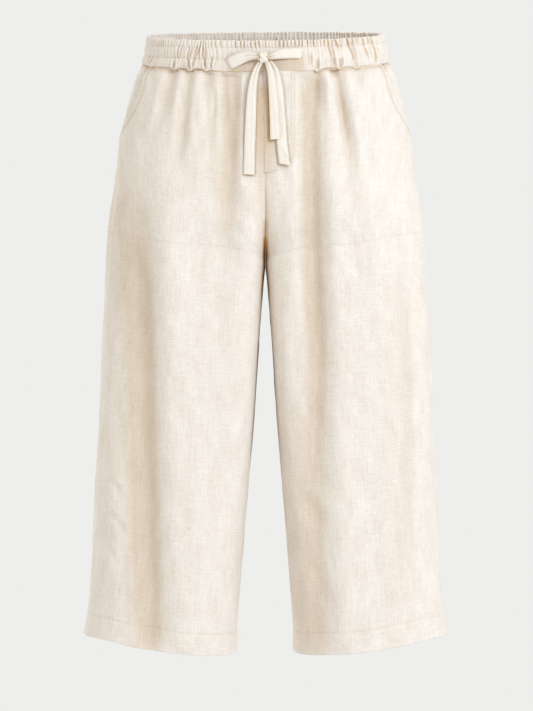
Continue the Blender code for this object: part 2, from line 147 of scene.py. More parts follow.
# Long slopes beside the folds, where the cloth rises towards the wearer's left, in the same
# columns: the width is half the slope's, and the depth is its rise
SLOPES = {
    FRONT: (
        (0.0655, 0.08, -0.02, -0.42, -0.004, 0.015, 0.0078, 0.03, 0.3),
        (0.0735, 0.07, -0.02, -0.085, 0.0, 0.006, 0.0036, 0.04, 0.6),
        (0.08, 0.09, -0.28, -0.79, -0.004, 0.02, 0.0066, 0.3, 0.15),
        (0.053, 0.086, -0.4, -0.79, 0.0, 0.02, 0.0056, 0.25, 0.15),
        (0.092, 0.114, -0.02, -0.175, 0.004, 0.006, 0.0052, 0.02, 0.6),
        (0.097, 0.119, -0.03, -0.28, 0.006, 0.011, 0.0054, 0.15, 0.55),
        (0.142, 0.14, -0.26, -0.79, 0.0, 0.021, -0.0022, 0.25, 0.12),
        (0.178, 0.186, -0.22, -0.72, 0.0, 0.01, 0.002, 0.3, 0.3),
        (-0.033, -0.035, -0.02, -0.34, -0.002, 0.013, 0.0118, 0.02, 0.6),
        (-0.0265, -0.031, -0.02, -0.08, 0.0, 0.0055, 0.003, 0.06, 0.6),
        (-0.064, -0.06, -0.02, -0.18, 0.0, 0.0066, 0.0044, 0.02, 0.6),
        (-0.05, -0.049, -0.02, -0.12, 0.0, 0.0044, 0.0034, 0.02, 0.7),
        (-0.1465, -0.1425, -0.12, -0.42, 0.002, 0.022, 0.007, 0.35, 0.5),
        (-0.146, -0.1205, -0.18, -0.79, 0.002, 0.027, 0.0106, 0.25, 0.1),
        (-0.18, -0.179, -0.11, -0.3, 0.0, 0.012, 0.0024, 0.25, 0.4),
        (-0.115, -0.151, -0.02, -0.17, 0.0, 0.007, 0.0036, 0.02, 0.6),
        (-0.094, -0.105, -0.02, -0.19, -0.002, 0.0064, 0.0032, 0.02, 0.6),
    ),
    BACK: (
        (-0.066, -0.09, -0.02, -0.52, 0.004, 0.012, 0.0048, 0.05, 0.4),
        (0.058, 0.076, -0.02, -0.46, 0.005, 0.012, 0.0046, 0.05, 0.45),
        (-0.13, -0.142, -0.14, -0.74, -0.006, 0.015, 0.0054, 0.3, 0.3),
        (0.135, 0.128, -0.2, -0.74, 0.007, 0.015, 0.0052, 0.3, 0.3),
        (0.112, 0.126, -0.02, -0.18, 0.0, 0.008, 0.0026, 0.02, 0.7),
        (-0.118, -0.132, -0.02, -0.17, 0.0, 0.008, 0.0024, 0.02, 0.7),
        (0.028, 0.031, -0.02, -0.15, 0.0, 0.008, 0.002, 0.02, 0.7),
    ),
}

# Finer creases, each from one end to the other: x and height, sideways bow, half width, depth.
# On the sides of the legs, y stands for x.
CREASE_COLUMNS = ("from_x", "from_z", "to_x", "to_z", "bow", "width", "depth")
CREASE_FADE_IN = (-0.1, 0.25)  # shares of its length
CREASE_FADE_OUT = (0.6, 1.1)
CREASE_SHOULDER_RISE = 0.5
CREASES = {
    FRONT: (
        # under the gathers, on the wearer's right
        (-0.129, -0.038, -0.142, -0.105, 0.002, 0.0045, 0.0016),
        (-0.106, -0.04, -0.115, -0.09, 0.001, 0.004, 0.0014),
        (-0.086, -0.04, -0.09, -0.098, 0.0, 0.004, 0.0013),
        (-0.064, -0.041, -0.065, -0.082, 0.0, 0.0035, 0.0014),
        (-0.055, -0.042, -0.052, -0.12, 0.001, 0.006, 0.0012),
        (-0.026, -0.052, -0.024, -0.15, 0.001, 0.007, 0.0012),
        # and on the left
        (0.047, -0.041, 0.047, -0.07, 0.0, 0.0035, 0.0015),
        (0.08, -0.04, 0.087, -0.088, 0.001, 0.004, 0.0015),
        (0.105, -0.04, 0.113, -0.084, 0.001, 0.004, 0.0013),
        (0.129, -0.038, 0.14, -0.086, 0.001, 0.004, 0.0012),
        (0.115, -0.075, 0.133, -0.17, 0.003, 0.007, 0.0014),
        # drawn from the crotch
        (0.011, -0.232, 0.052, -0.176, 0.004, 0.006, 0.001),
        (0.015, -0.262, 0.052, -0.214, 0.004, 0.006, 0.0007),
        (-0.01, -0.238, -0.048, -0.196, -0.003, 0.007, 0.001),
        (-0.012, -0.268, -0.048, -0.23, -0.003, 0.006, 0.0006),
        (0.02, -0.15, 0.03, -0.196, 0.002, 0.005, 0.0012),
        # slanting ones beside the long folds
        (0.09, -0.226, 0.116, -0.282, 0.003, 0.005, 0.0013),
        (0.096, -0.256, 0.118, -0.302, 0.002, 0.0045, 0.0011),
        (0.086, -0.452, 0.106, -0.492, 0.002, 0.006, 0.0012),
        (0.124, -0.33, 0.142, -0.42, 0.002, 0.008, 0.001),
        (0.116, -0.52, 0.136, -0.64, 0.004, 0.009, 0.0012),
        (-0.118, -0.42, -0.098, -0.52, 0.003, 0.009, 0.0011),
        (-0.108, -0.56, -0.1, -0.69, 0.003, 0.009, 0.0012),
        (-0.06, -0.3, -0.052, -0.43, 0.003, 0.011, 0.0011),
        (-0.07, -0.47, -0.056, -0.6, 0.003, 0.011, 0.0011),
        (-0.178, -0.24, -0.162, -0.33, 0.002, 0.008, 0.0014),
        (-0.19, -0.42, -0.182, -0.56, 0.002, 0.008, 0.0012),
        (-0.17, -0.6, -0.186, -0.69, 0.002, 0.007, 0.0012),
        (-0.206, -0.548, -0.182, -0.578, 0.004, 0.004, 0.0016),
        (-0.204, -0.59, -0.178, -0.626, 0.004, 0.0045, 0.0016),
        (-0.209, -0.634, -0.188, -0.662, 0.003, 0.004, 0.0014),
        # the broken foot of the left leg's long fold
        (0.042, -0.56, 0.076, -0.61, 0.004, 0.009, 0.0016),
        (0.05, -0.64, 0.086, -0.7, 0.003, 0.009, 0.0014),
        (0.062, -0.43, 0.056, -0.54, 0.002, 0.008, 0.0012),
        (0.034, -0.34, 0.04, -0.45, 0.002, 0.007, 0.001),
        (0.162, -0.56, 0.17, -0.69, 0.002, 0.008, 0.0012),
    ),
    BACK: (
        (-0.137, -0.01, -0.148, -0.08, 0.002, 0.0045, 0.0015),
        (-0.106, -0.01, -0.112, -0.07, 0.001, 0.004, 0.0014),
        (-0.078, -0.008, -0.08, -0.07, 0.0, 0.004, 0.0014),
        (-0.05, -0.006, -0.05, -0.076, 0.001, 0.004, 0.0014),
        (-0.016, -0.006, -0.017, -0.066, 0.0, 0.004, 0.0013),
        (0.014, -0.006, 0.015, -0.062, 0.0, 0.004, 0.0013),
        (0.043, -0.006, 0.045, -0.08, 0.0, 0.004, 0.0014),
        (0.07, -0.008, 0.075, -0.072, 0.001, 0.004, 0.0014),
        (0.098, -0.01, 0.104, -0.084, 0.001, 0.004, 0.0014),
        (0.13, -0.01, 0.142, -0.078, 0.001, 0.0045, 0.0014),
        (0.011, -0.236, 0.07, -0.196, 0.004, 0.009, 0.0018),
        (-0.011, -0.228, -0.066, -0.18, -0.004, 0.009, 0.0018),
        (0.013, -0.272, 0.082, -0.262, 0.004, 0.009, 0.0016),
        (-0.013, -0.27, -0.076, -0.25, -0.004, 0.009, 0.0016),
        (0.05, -0.31, 0.09, -0.37, 0.004, 0.009, 0.0014),
        (-0.056, -0.33, -0.09, -0.4, -0.003, 0.009, 0.0014),
        (0.1, -0.42, 0.088, -0.54, 0.003, 0.01, 0.0013),
        (-0.112, -0.46, -0.096, -0.6, 0.003, 0.01, 0.0013),
        (0.152, -0.3, 0.16, -0.46, 0.003, 0.009, 0.0013),
        (-0.16, -0.26, -0.172, -0.42, 0.003, 0.009, 0.0013),
        (0.07, -0.6, 0.086, -0.7, 0.003, 0.009, 0.0012),
        (-0.07, -0.62, -0.08, -0.71, 0.003, 0.009, 0.0012),
        (0.17, -0.56, 0.176, -0.7, 0.003, 0.008, 0.0012),
        (-0.18, -0.54, -0.174, -0.69, 0.003, 0.008, 0.0012),
    ),
}
SIDE_CREASES = {
    LEFT: (
        (0.03, -0.03, 0.036, -0.12, 0.002, 0.006, 0.0016),
        (0.062, -0.026, 0.07, -0.15, 0.002, 0.007, 0.0018),
        (-0.018, -0.15, -0.038, -0.3, 0.003, 0.01, 0.0022),
        (0.028, -0.19, 0.012, -0.42, 0.004, 0.012, 0.003),
        (-0.03, -0.38, -0.018, -0.6, 0.004, 0.011, 0.0026),
        (0.046, -0.33, 0.052, -0.52, 0.003, 0.011, 0.0024),
        (0.026, -0.5, 0.03, -0.72, 0.003, 0.011, 0.0024),
        (-0.048, -0.56, -0.044, -0.73, 0.003, 0.01, 0.002),
        (0.01, -0.14, 0.034, -0.176, 0.002, 0.005, 0.0012),
    ),
    RIGHT: (
        (0.026, -0.032, 0.03, -0.11, 0.002, 0.006, 0.0016),
        (0.058, -0.03, 0.064, -0.14, 0.002, 0.007, 0.0018),
        (-0.026, -0.16, -0.03, -0.33, 0.003, 0.01, 0.0024),
        (0.018, -0.21, 0.024, -0.45, 0.004, 0.012, 0.003),
        (-0.018, -0.42, -0.026, -0.64, 0.004, 0.011, 0.0026),
        (0.05, -0.3, 0.046, -0.5, 0.003, 0.011, 0.0022),
        (0.034, -0.52, 0.026, -0.725, 0.003, 0.011, 0.0026),
        (-0.052, -0.48, -0.046, -0.69, 0.003, 0.01, 0.002),
        (-0.01, -0.14, 0.016, -0.186, 0.002, 0.005, 0.0012),
    ),
}

# Crumple of washed linen: size of the lumps and their height
CRUMPLE = ((0.08, 0.0014), (0.034, 0.00105), (0.013, 0.00036))
CRUMPLE_STRETCH = 2.4  # lumps are longer down the leg
LATTICE = 32

# Seeds of the noise, and how far apart the front and the back, or the sides, lie in it
SEEDS = {"crumple": 11, "hem": 41, "puckers": 43, "seams": 47, "band_top": 53, "wander": 59,
         "crowding": 61, "gathers": 67, "tape": 71, "tape_lines": 79, "knot": 83}
APART = {"hem": 0.1, "puckers": 0.2, "seams": 0.2, "seam_sides": 0.3, "band_top": 0.3, "wander": 0.5,
         "crowding": 0.7, "tapes": 0.01, "tape_lines": 0.03}

# Slanted pocket mouths, as an angle round the leg from its side seam
MOUTH_ANGLE = math.radians(28.0)
MOUTH_POWER = 2.2
MOUTH_GAPE = 0.003
MOUTH_SAG = math.radians(2.4)
MOUTH_TOP_SAG = math.radians(5.8)  # it starts nearer the side under the waistband
MOUTH_TOP_SAG_ENDS = 0.17
MOUTH_SAG_ENDS = 0.55
MOUTH_SAG_POWER = 0.7
MOUTH_GAPE_ANGLE = math.radians(7.0)
MOUTH_GAPE_POWER = 0.8
FACING_UNDERLAP = math.radians(9.0)
FACING_RECESS = 0.003
FACING_HOLLOW = 0.0056  # deeper still, just behind the mouth
FACING_HOLLOW_SHIFT = math.radians(4.5)
FACING_HOLLOW_ANGLE = math.radians(6.0)
FACING_SHADE = 0.62
FACING_SHADE_ANGLE = math.radians(1.8)
FACING_SHADE_SHIFT = math.radians(4.6)
FACING_SHADE_POWER = 0.3
FACING_CRUMPLE = 0.5  # share of the fronts' unevenness
FACING_TOP_SHADE = 0.3
FACING_TUCK_STARTS = 0.82
FACING_LEAST_ANGLE = math.radians(1.0)

# Grids of the cloth
RUN_SAMPLES = 301
COLUMN_PITCH = 0.0027
EDGE_MARKS = (0.0, 0.0004, 0.0009, 0.0016, 0.0026, 0.0038, 0.0051)  # columns beside a seam
ROW_PITCH = 0.0036
TOP_ROW_PITCH = 0.0016  # where the cloth leaves the waistband
TOP_ROWS_END = -0.05
HEM_ROW_PITCH = 0.0011
CROTCH_ROW_OUTER = -0.25
SEAM_BLEND = 0.004  # above and below its end, a mouth's edge turns into the side seam
LEG_BLEND = (0.001, -0.01)  # about the crotch, the rise seam turns into the inseam

# Waistband
GATHERS = 84  # in the front half, and again behind
BAND_COLUMNS = 10  # to a gather
BAND_STAND = 0.0012
BAND_THICKNESS = 0.003
PLAIN_HALF = 0.044
PLAIN_FADE = 0.01
BAND_LAP = 0.0004  # the waistband's edge below its seam
BAND_ARCH = 0.0034  # rise of that edge towards the sides
BAND_ARCH_REACH = (0.05, 0.085)
SCALLOP_REACH = 0.003
BAND_SCALLOPS = {
    FRONT: ((-0.1475, 0.0012), (-0.1162, 0.003), (-0.0956, 0.0034), (-0.0751, 0.0024),
            (0.0658, 0.0026), (0.0945, 0.0034), (0.1152, 0.0036), (0.142, 0.0014)),
    BACK: ((-0.14, 0.002), (-0.113, 0.0032), (-0.088, 0.0026), (0.062, 0.002),
           (0.085, 0.003), (0.109, 0.0032), (0.136, 0.0018)),
}
BAND_TOP_DROP = 0.001
BAND_TOP_SAG = {FRONT: 0.0012, BACK: 0.0034}  # its top edge sags between the sides
BAND_TOP_SAG_POWER = 0.8
BAND_TOP_WAVE = 0.0006
BAND_TOP_WAVE_SIZE = 0.006
BAND_PINCH = 0.0013  # the stitch rows pull in
TIER_SWELL = (0.0017, 0.0014, 0.0009, 0.0026)  # lowest, middle, header, and the one long tier
TIER_POWER = (0.7, 0.7, 0.6, 0.6)  # below 1, a tier's swell is fuller than a sine
LONG_TIER_STARTS = (0.0, 0.03)  # there the middle seam leaves off
GATHER_WANDER = 0.55  # of a gather, to and fro
GATHER_WANDER_SIZE = 0.011
GATHER_WANDER_STRETCH = 1.6
GATHER_CROWDING = 0.9  # of a gather, where they bunch up
GATHER_CROWDING_SIZE = 0.028
GATHER_DEPTHS = (0.4, 1.15)  # least and most, in shares
GATHER_TIERS = (MIDDLE_SEAM - 0.008, MIDDLE_SEAM + 0.005, HEADER_SEAM + 0.004)
GATHER_TIER_BLEND = (0.2, 0.8)
PLAIN_GATHER = 0.04  # what is left of the gathers in the plain stretch
HEADER_BLEND = 0.004
RIDGE_STAND = 0.35  # share of a gather's height over the plain casing
GATHER_SIZES = (  # level and height of the gathers there
    (0.021, 0.003),
    (0.015, 0.0033),
    (0.0103, 0.0018),
    (0.0035, 0.0023),
    (-0.004, 0.0016),
    (-0.011, 0.0019),
    (-0.017, 0.001),
    (-0.02, 0.0006),
)
GATHER_SHADE = 0.0022  # depth at which a valley is fully shaded
# Strength and sharpness of the shade painted into the gathers' valleys
GATHER_SHADE_STRENGTH = 0.68
GATHER_SHADE_POWER = 2.3
SEAM_ROW_SHADE = 0.05
SEAM_ROW_REACH = 0.0009
BAND_EDGE_SHADE = 0.45  # along the lower edge
BAND_EDGE_SHADE_REACH = 0.0007
TUCK_DEPTH = 1.35
LONG_TIER_EASE = 0.38
SHORT_TIER_EASE = 0.28  # on the wearer's right
SHORT_TIER_STARTS = (-0.03, -0.07)
PLAIN_SHADE = 0.42  # the plain stretch lies behind the drawstring
GATHER_ROUND = 0.75
GATHER_FULLNESS = 1.35
INNER_GATHER = 0.8
INNER_SHADE = 0.05
HEADER_THICKNESS = 0.0017
BAND_TIER_ROWS = 9
BAND_INNER_ROWS = 13
BAND_ROLL = 0.0007
BAND_ROLL_SHARES = (0.15, 0.5, 0.85)
BAND_EDGE_STITCH = 0.0013
BAND_TUCKS = {
    FRONT: (
        (-0.148, -0.002, -0.148, -0.018, 0.0, 0.0013, 0.0016),
        (-0.116, -0.006, -0.1162, -0.02, 0.0, 0.0014, 0.002),
        (-0.111, 0.012, -0.111, -0.005, 0.0, 0.0012, 0.0022),
        (-0.097, 0.012, -0.0994, -0.006, 0.001, 0.0012, 0.002),
        (-0.0994, -0.004, -0.096, -0.02, 0.001, 0.0014, 0.0022),
        (-0.0866, 0.013, -0.0904, -0.003, 0.0, 0.0012, 0.002),
        (-0.0904, -0.001, -0.093, -0.018, 0.0, 0.0012, 0.0018),
        (-0.0789, 0.012, -0.0789, -0.002, 0.0, 0.0012, 0.0018),
        (-0.0789, 0.0, -0.0751, -0.018, 0.0, 0.0013, 0.002),
        (-0.0687, 0.0, -0.0687, -0.02, 0.0, 0.0012, 0.0016),
        (0.0565, 0.004, 0.056, -0.016, 0.001, 0.0013, 0.0014),
        (0.0658, -0.004, 0.066, -0.021, 0.0, 0.0014, 0.002),
        (0.0817, 0.021, 0.083, 0.007, 0.0, 0.0013, 0.0022),
        (0.083, 0.01, 0.0856, -0.005, 0.0, 0.0013, 0.0022),
        (0.0856, -0.003, 0.0881, -0.017, 0.0, 0.0013, 0.002),
        (0.092, 0.021, 0.0971, 0.004, 0.0, 0.0013, 0.002),
        (0.096, -0.004, 0.0945, -0.021, 0.0, 0.0015, 0.0026),
        (0.1074, 0.021, 0.1106, 0.005, 0.0, 0.0013, 0.0022),
        (0.1106, 0.008, 0.113, -0.012, 0.001, 0.0013, 0.0022),
        (0.115, -0.008, 0.1152, -0.021, 0.0, 0.0013, 0.002),
        (0.1283, 0.02, 0.1309, 0.006, 0.0, 0.0013, 0.002),
        (0.1309, 0.008, 0.1336, -0.009, 0.0, 0.0013, 0.0018),
        (0.1423, 0.018, 0.1416, -0.019, 0.001, 0.0014, 0.002),
    ),
    BACK: (
        (-0.14, 0.012, -0.141, -0.018, 0.001, 0.0013, 0.002),
        (-0.113, 0.004, -0.113, -0.02, 0.001, 0.0014, 0.0022),
        (-0.096, 0.012, -0.093, -0.004, 0.0, 0.0013, 0.002),
        (-0.088, -0.004, -0.089, -0.02, 0.0, 0.0013, 0.002),
        (-0.06, 0.01, -0.062, -0.018, 0.001, 0.0013, 0.0018),
        (-0.034, 0.012, -0.033, -0.004, 0.0, 0.0013, 0.0018),
        (-0.01, 0.004, -0.011, -0.02, 0.001, 0.0013, 0.002),
        (0.016, 0.012, 0.018, -0.006, 0.0, 0.0013, 0.002),
        (0.04, 0.01, 0.04, -0.018, 0.001, 0.0013, 0.0018),
        (0.062, -0.002, 0.062, -0.02, 0.0, 0.0014, 0.0022),
        (0.085, 0.01, 0.084, -0.019, 0.001, 0.0013, 0.002),
        (0.109, 0.0, 0.109, -0.02, 0.0, 0.0014, 0.0022),
        (0.136, 0.014, 0.137, -0.018, 0.001, 0.0013, 0.002),
    ),
}

# Sewing on the panels
CUT_MAP = "cut_metres"  # the UV map: places on the flat cut, in metres
PAINTED_SHADE_ATTRIBUTE = "painted_shade"  # the attribute: how much shade is painted into the colour, from 0 to 1, in folds, gathers, seams and shadows
MOUTH_SHARE_OF_RISE = 5 / 11
UNDER_BAND = (  # rows above the waist seam: height, and lift off the cloth
    (0.0062, -0.0016),
    (0.0045, -0.0014),
    (0.003, -0.0011),
    (0.0016, -0.0006),
    (0.0007, -0.0002),
)
HEM_ROWS_ABOVE = 0.005
HEM_ROUND = (  # rows that roll round the hem's edge: height over it, and lift
    (0.0009, 0.0),
    (0.0003, -0.0003),
    (0.0, -0.001),
    (0.0002, -0.0019),
    (0.0009, -0.0025),
    (0.0022, -0.0028),
    (0.004, -0.0028),
)
HEM_GROOVE = 0.0007
HEM_GROOVE_REACH = 0.0014
HEM_FLARE = 0.0017  # the turned-up cloth stands out towards its edge
HEM_FLARE_MOST = 1.2  # share of it that the rolled edge reaches
HEM_PUCKER = 0.0008
HEM_PUCKER_SIZE = 0.012
HEM_PUCKER_STRETCH = 4.0
HEM_PUCKER_STARTS = (0.003, -0.004)  # about the stitches
PUCKER_LENGTH = 0.011
PUCKER_HEIGHT = 0.0011
PUCKER_SIZE = 0.0048
PUCKER_STRETCH = 8.0
PUCKER_STARTS = 0.004  # before the plain stretch's end
SEAM_PUCKER = 0.0005
SEAM_PUCKER_SIZE = 0.011
SEAM_PUCKER_REACH = 0.01
FOLD_SHADE = 0.36  # shading of the deepest folds, and their depth there
FOLD_SHADE_DEPTH = 0.0075
GATHER_STOP = 0.8  # the painted shade's colour stops: folds, gathers, and the crotch at 1
SEAM_SHADE = 0.3
SEAM_SHADE_REACH = 0.0011
INSEAM_RIDGE = 0.0062  # the seam allowance shows through, beside the inseam
INSEAM_RIDGE_HEIGHT = 0.0004
INSEAM_SHADE = 0.07
INSEAM_FADE = 0.05  # below the crotch
INSEAM_EASE = 0.5  # share of the seam's shade that is missing in the inseam
CROTCH_SHADE = 1.0
CROTCH_SHADE_LEVELS = (-0.218, -0.229, -0.239, -0.252, -0.3, -0.345)
CROTCH_TAN = 0.5  # share of the shade above the deep part
CROTCH_SHADE_REACH = 0.0046  # from the centre plane
INSEAM_EDGE_REACH = 0.0018  # and from the inseams below the crotch
CROTCH_NARROWS = (0.01, -0.008)  # about the crotch, from the one reach to the other
CROTCH_SHADE_POWER = 6
LEFT_INSEAM_EASE = 0.5
CENTRE_SHADE = 0.5  # between the hanging tapes
CENTRE_SHADE_REACH = 0.0112
CENTRE_SHADE_POWER = 4
CENTRE_SHADE_EASE = 0.7  # share of it that is gone at the last level
CENTRE_SHADE_LEVELS = (-0.024, -0.045, -0.115, -0.19)
TAPE_SHADE = 0.55  # on the cloth along the tapes' edges
TAPE_SHADE_REACH = 0.0017
TAIL_SHADE_FADE = 0.003
RUN_SHADE_FADE = 0.002
RUN_SHADE_ABOVE = -0.004  # under a run, from its lower edge
HEM_SHADE = 0.1
MOUTH_ROW_SHADE = 0.4
HEM_SHADE_DEPTH = 0.0013
TOP_SHADE = 0.32
TOP_SHADE_REACH = 0.0024
MOUTH_EDGE = 0.0016
MOUTH_TOPSTITCH = (0.0056, 0.0082)
MOUTH_TURN = 1.15  # radians round the leg there, to its outer half width
GRAIN_LEVELS = (0.03, -0.276, -0.762)
GRAIN_PLACES = (0.1, 0.103, 0.135)
FACING_ROWS = 62
FACING_COLUMNS = 40
TURNUP_ROWS = 16
TURNUP_COLUMNS = 118
TURNUP_OVER = 0.002  # the turn-up's raw edge above its stitches

# Mock fly
FLY_WIDTH = 0.0385
FLY_CURVE = -0.126
FLY_END = -0.16
FLY_LAP = 0.0016  # past the centre seam
FLY_STAND = 0.0003
FLY_SWELL = 0.0008
FLY_SHELL = 0.0006
FLY_TOPSTITCH = (0.0017, 0.0062)  # insets of the two rows from the fly's edge
FLY_LAP_EASE = 0.8  # under the fly the rise seam hardly dips
FLY_LAP_BLEND = 0.01
FLY_SWELL_EASES = 0.45  # share of its width
FLY_EDGE_RISES = (0.02, 0.06)  # the lapped edge lies closer: its least and its reach, in shares
FLY_UNDER_BAND = (0.001, -0.004)  # about the waist seam, where it starts to lie flat
FLY_STRAIGHT_ROWS = 70
FLY_ROUND_ROWS = 24
FLY_ROUND_END = 0.97  # share of a quarter turn
FLY_COLUMNS = 22
FLY_ROW_SHADE = 0.3
FLY_ROW_REACH = 0.0009

# Drawstring
TAPE = 0.0012
TAPE_EASE = 1.05  # the tapes lie a little wider than their solids
TAPE_SIDES = 44
TAPE_RING_PITCH = 0.0016
TAPE_CUP = 0.0004
TAPE_SEAM_DEPTH = 0.00016
TAPE_SEAM_AT = 0.8
TAPE_SEAM_REACH = 0.06
TAPE_EDGE_POWER = 0.75  # below 1, the tape's section is squarer than an oval
TAPE_FACE_POWER = 0.5
TAPE_CRUMPLE = 0.00045
TAPE_CRUMPLE_SIZE = 0.01
TAPE_CRUMPLE_WIDTH = 0.004  # the tape's half width in the noise
TAPE_SLANT_REACH = 0.004
TAPE_SHADE_DEPTH = 0.0011
TAPE_KNOT_SHADE = 0.2
TAPE_LINE_SHADE = 0.16
TAPE_EDGE_SHADE = 0.34
TAPE_LINES = (-0.8, -0.3, 0.22, 0.8)
TAPE_LINE_REACH = 0.1
TAPE_LINE_SIZE = 0.018
TAPE_CREASE_SHADE = 0.45
TAPE_SIDE_STARTS = (0.95, 0.995)
RUN_END_SHADE = 0.1
RUN_END_STARTS = (0.008, 0.003)
# A fold near a tail's end: its height over the end, slant, reach and depth
TURNED_END = (0.0145, 0.0105, 0.0011, 0.0009)
TAPE_KNOT_REACH = 0.006
RUN_IN_KNOT = (0.0036, 0.001)  # the runs go on into the knot: sideways, inwards
RUN_IN_KNOT_WIDTH = 0.7
RUN_TUCK = (0.0026, 0.005)  # and their outer ends into the buttonholes
KNOT_CENTRE = (-0.0024, -0.1033, -0.0222)
KNOT_HALF = (0.0072, 0.0046, 0.0061)
KNOT_FULLNESS = 1.02
KNOT_POWER = 2.6  # its section lies between an oval and a box
KNOT_SHADE = 0.46
KNOT_RELIEF_SHADE = 0.6
KNOT_RELIEF = 0.0008
KNOT_LEAN = 0.18
KNOT_SIDES = 96
KNOT_RINGS = 64
KNOT_CUT = (0.03, 0.006)  # its wrap on the flat cut: width, and half its length to a radian
KNOT_WRAP = (0.005, 0.0041)  # the wrap's edge, from the middle
KNOT_WRAP_LIFT = 0.0006
KNOT_GROOVE_AT = 0.0049
KNOT_GROOVE_REACH = 0.0007
KNOT_GROOVE = 0.0009
KNOT_FOLD = 0.00032
KNOT_FOLD_PITCH = 0.0011  # to a radian of the folds' wave
KNOT_FOLD_REACH = 0.0046
KNOT_FOLD_TWIST = (2.2, 1.2, 2.6, 0.7)  # turn with the height, and the size, rate and start of its sway
KNOT_LUMP = 0.00055
KNOT_LUMP_SIZE = 0.003
KNOT_LUMP_RADIUS = 0.006
KNOT_DENT = 0.0008  # where one edge of the wrap tucks under the other
KNOT_DENT_AT = (-0.003, 0.55)  # across, and in shares of its height
KNOT_DENT_REACH = (0.0016, 0.1)
# Routes of the runs: x, y, z, width and lean; of the tails: x, y, z and width
RUNS = {
    "drawstring_run_left": (
        (0.044, -0.0958, -0.0158, 0.0126, 0.05),
        (0.031, -0.0994, -0.0166, 0.0122, 0.0),
        (0.019, -0.1025, -0.0178, 0.0106, -0.1),
        (0.011, -0.1042, -0.02, 0.008, -0.2),
        (0.0038, -0.1046, -0.0214, 0.006, -0.25),
    ),
    "drawstring_run_right": (
        (-0.0455, -0.0971, -0.029, 0.0136, -0.45),
        (-0.037, -0.1, -0.0252, 0.0136, -0.4),
        (-0.027, -0.102, -0.0214, 0.0126, -0.25),
        (-0.017, -0.104, -0.0196, 0.01, -0.05),
        (-0.0086, -0.1046, -0.0204, 0.0066, 0.0),
    ),
}
TAILS = {
    "drawstring_tail_right": (
        (-0.0062, -0.1046, -0.028, 0.007),
        (-0.0116, -0.1072, -0.039, 0.008),
        (-0.015, -0.1095, -0.053, 0.0098),
        (-0.0168, -0.111, -0.068, 0.0112),
        (-0.0178, -0.1123, -0.085, 0.0122),
        (-0.0185, -0.1133, -0.103, 0.0128),
        (-0.0192, -0.1138, -0.121, 0.013),
        (-0.0198, -0.1141, -0.139, 0.0132),
        (-0.0203, -0.1143, -0.156, 0.0134),
        (-0.0206, -0.1144, -0.17, 0.0136),
    ),
    "drawstring_tail_middle": (
        (0.0024, -0.105, -0.0277, 0.0066),
        (0.0064, -0.1088, -0.04, 0.008),
        (0.0086, -0.1116, -0.056, 0.0094),
        (0.0099, -0.1133, -0.072, 0.0104),
        (0.0109, -0.1147, -0.088, 0.0112),
        (0.0117, -0.1157, -0.104, 0.0116),
        (0.0121, -0.1163, -0.118, 0.0118),
        (0.0122, -0.1165, -0.126, 0.0118),
    ),
    "drawstring_tail_left": (
        (0.0056, -0.1031, -0.0262, 0.0062),
        (0.012, -0.1056, -0.0376, 0.0084),
        (0.015, -0.1082, -0.051, 0.0102),
        (0.0166, -0.11, -0.066, 0.0116),
        (0.0178, -0.1114, -0.082, 0.0122),
        (0.0188, -0.1126, -0.099, 0.0126),
        (0.0198, -0.1138, -0.115, 0.0128),
        (0.0208, -0.1147, -0.13, 0.0128),
        (0.0224, -0.1153, -0.144, 0.013),
        (0.0242, -0.1156, -0.1575, 0.0134),
    ),
}
# Pleats by the knot: place across the tape, reach, height, and how far down they run
RUN_PLEATS = (
    (0.62, 0.16, -0.0012, 0.016),
    (0.3, 0.22, 0.0012, 0.014),
    (0.0, 0.14, -0.0011, 0.02),
    (-0.42, 0.2, 0.001, 0.018),
    (-0.7, 0.14, -0.001, 0.014),
)
TAIL_PLEATS = {
    "drawstring_tail_right": (
        (0.3, 0.22, 0.0013, 0.03),
        (-0.3, 0.22, -0.0008, 0.034),
        (0.8, 0.2, -0.0008, 0.022),
    ),
    "drawstring_tail_middle": ((-0.1, 0.25, 0.001, 0.022), (0.6, 0.2, -0.0007, 0.02)),
    "drawstring_tail_left": ((0.2, 0.25, 0.0009, 0.026), (-0.5, 0.2, -0.0006, 0.024)),
}
TAIL_SLANTS = {
    "drawstring_tail_right": 0.0004,
    "drawstring_tail_middle": -0.0006,
    "drawstring_tail_left": 0.0012,
}

# Thread
THREAD = 0.00055
STITCH = 0.0021
STITCH_PITCH = 0.0029
STITCH_RAISE = 0.05  # share of the thread's thickness from the cloth up to its middle
STITCH_BRIDGE = 9  # samples over which a stitch spans the gathers
STITCH_FORM = (6, 4)  # sides and rings
OUTWARD_STEP = 0.002  # for reading the way out of the cloth
ROW_END = 0.001  # rows stop short of the seams
HEM_ROW_END = 0.01  # radians round the leg
MOUTH_ROW_ENDS = (0.001, 0.003)
MOUTH_ROW_SAMPLES = 120
FLY_ROW_SAMPLES = (60, 40)  # down the straight, and round the J
FLY_ROW_TURN = 0.9  # share of a quarter turn
BAND_ROW_SAMPLES = 1600
BUTTONHOLES = (("left", 0.0444, -0.016), ("right", -0.0462, -0.029))
BUTTONHOLE_WIDTH = 0.0026
BUTTONHOLE_HEIGHT = 0.015
BUTTONHOLE_RAISE = 0.0009
BUTTONHOLE_FLATNESS = 0.6
BUTTONHOLE_FORM = (36, 10)  # sides round the slot, and round the ridge
BUTTONHOLE_AWAY = 0.097  # of the waistband there, from the garment's middle

# The panels' names, by face and side
PANELS = {(FRONT, LEFT): "front_left", (FRONT, RIGHT): "front_right",
          (BACK, LEFT): "back_left", (BACK, RIGHT): "back_right"}

# Surfaces and studio
THREAD_PITCH = 0.00055
WEAVE_HEIGHT = 0.000045
SLUB_HEIGHT = 0.00016
CRINKLE = 0.0011
TAPE_LOOK = (0.00045, 0.0002, 0.12)  # thread pitch, crinkle, and how much its weft threads vary
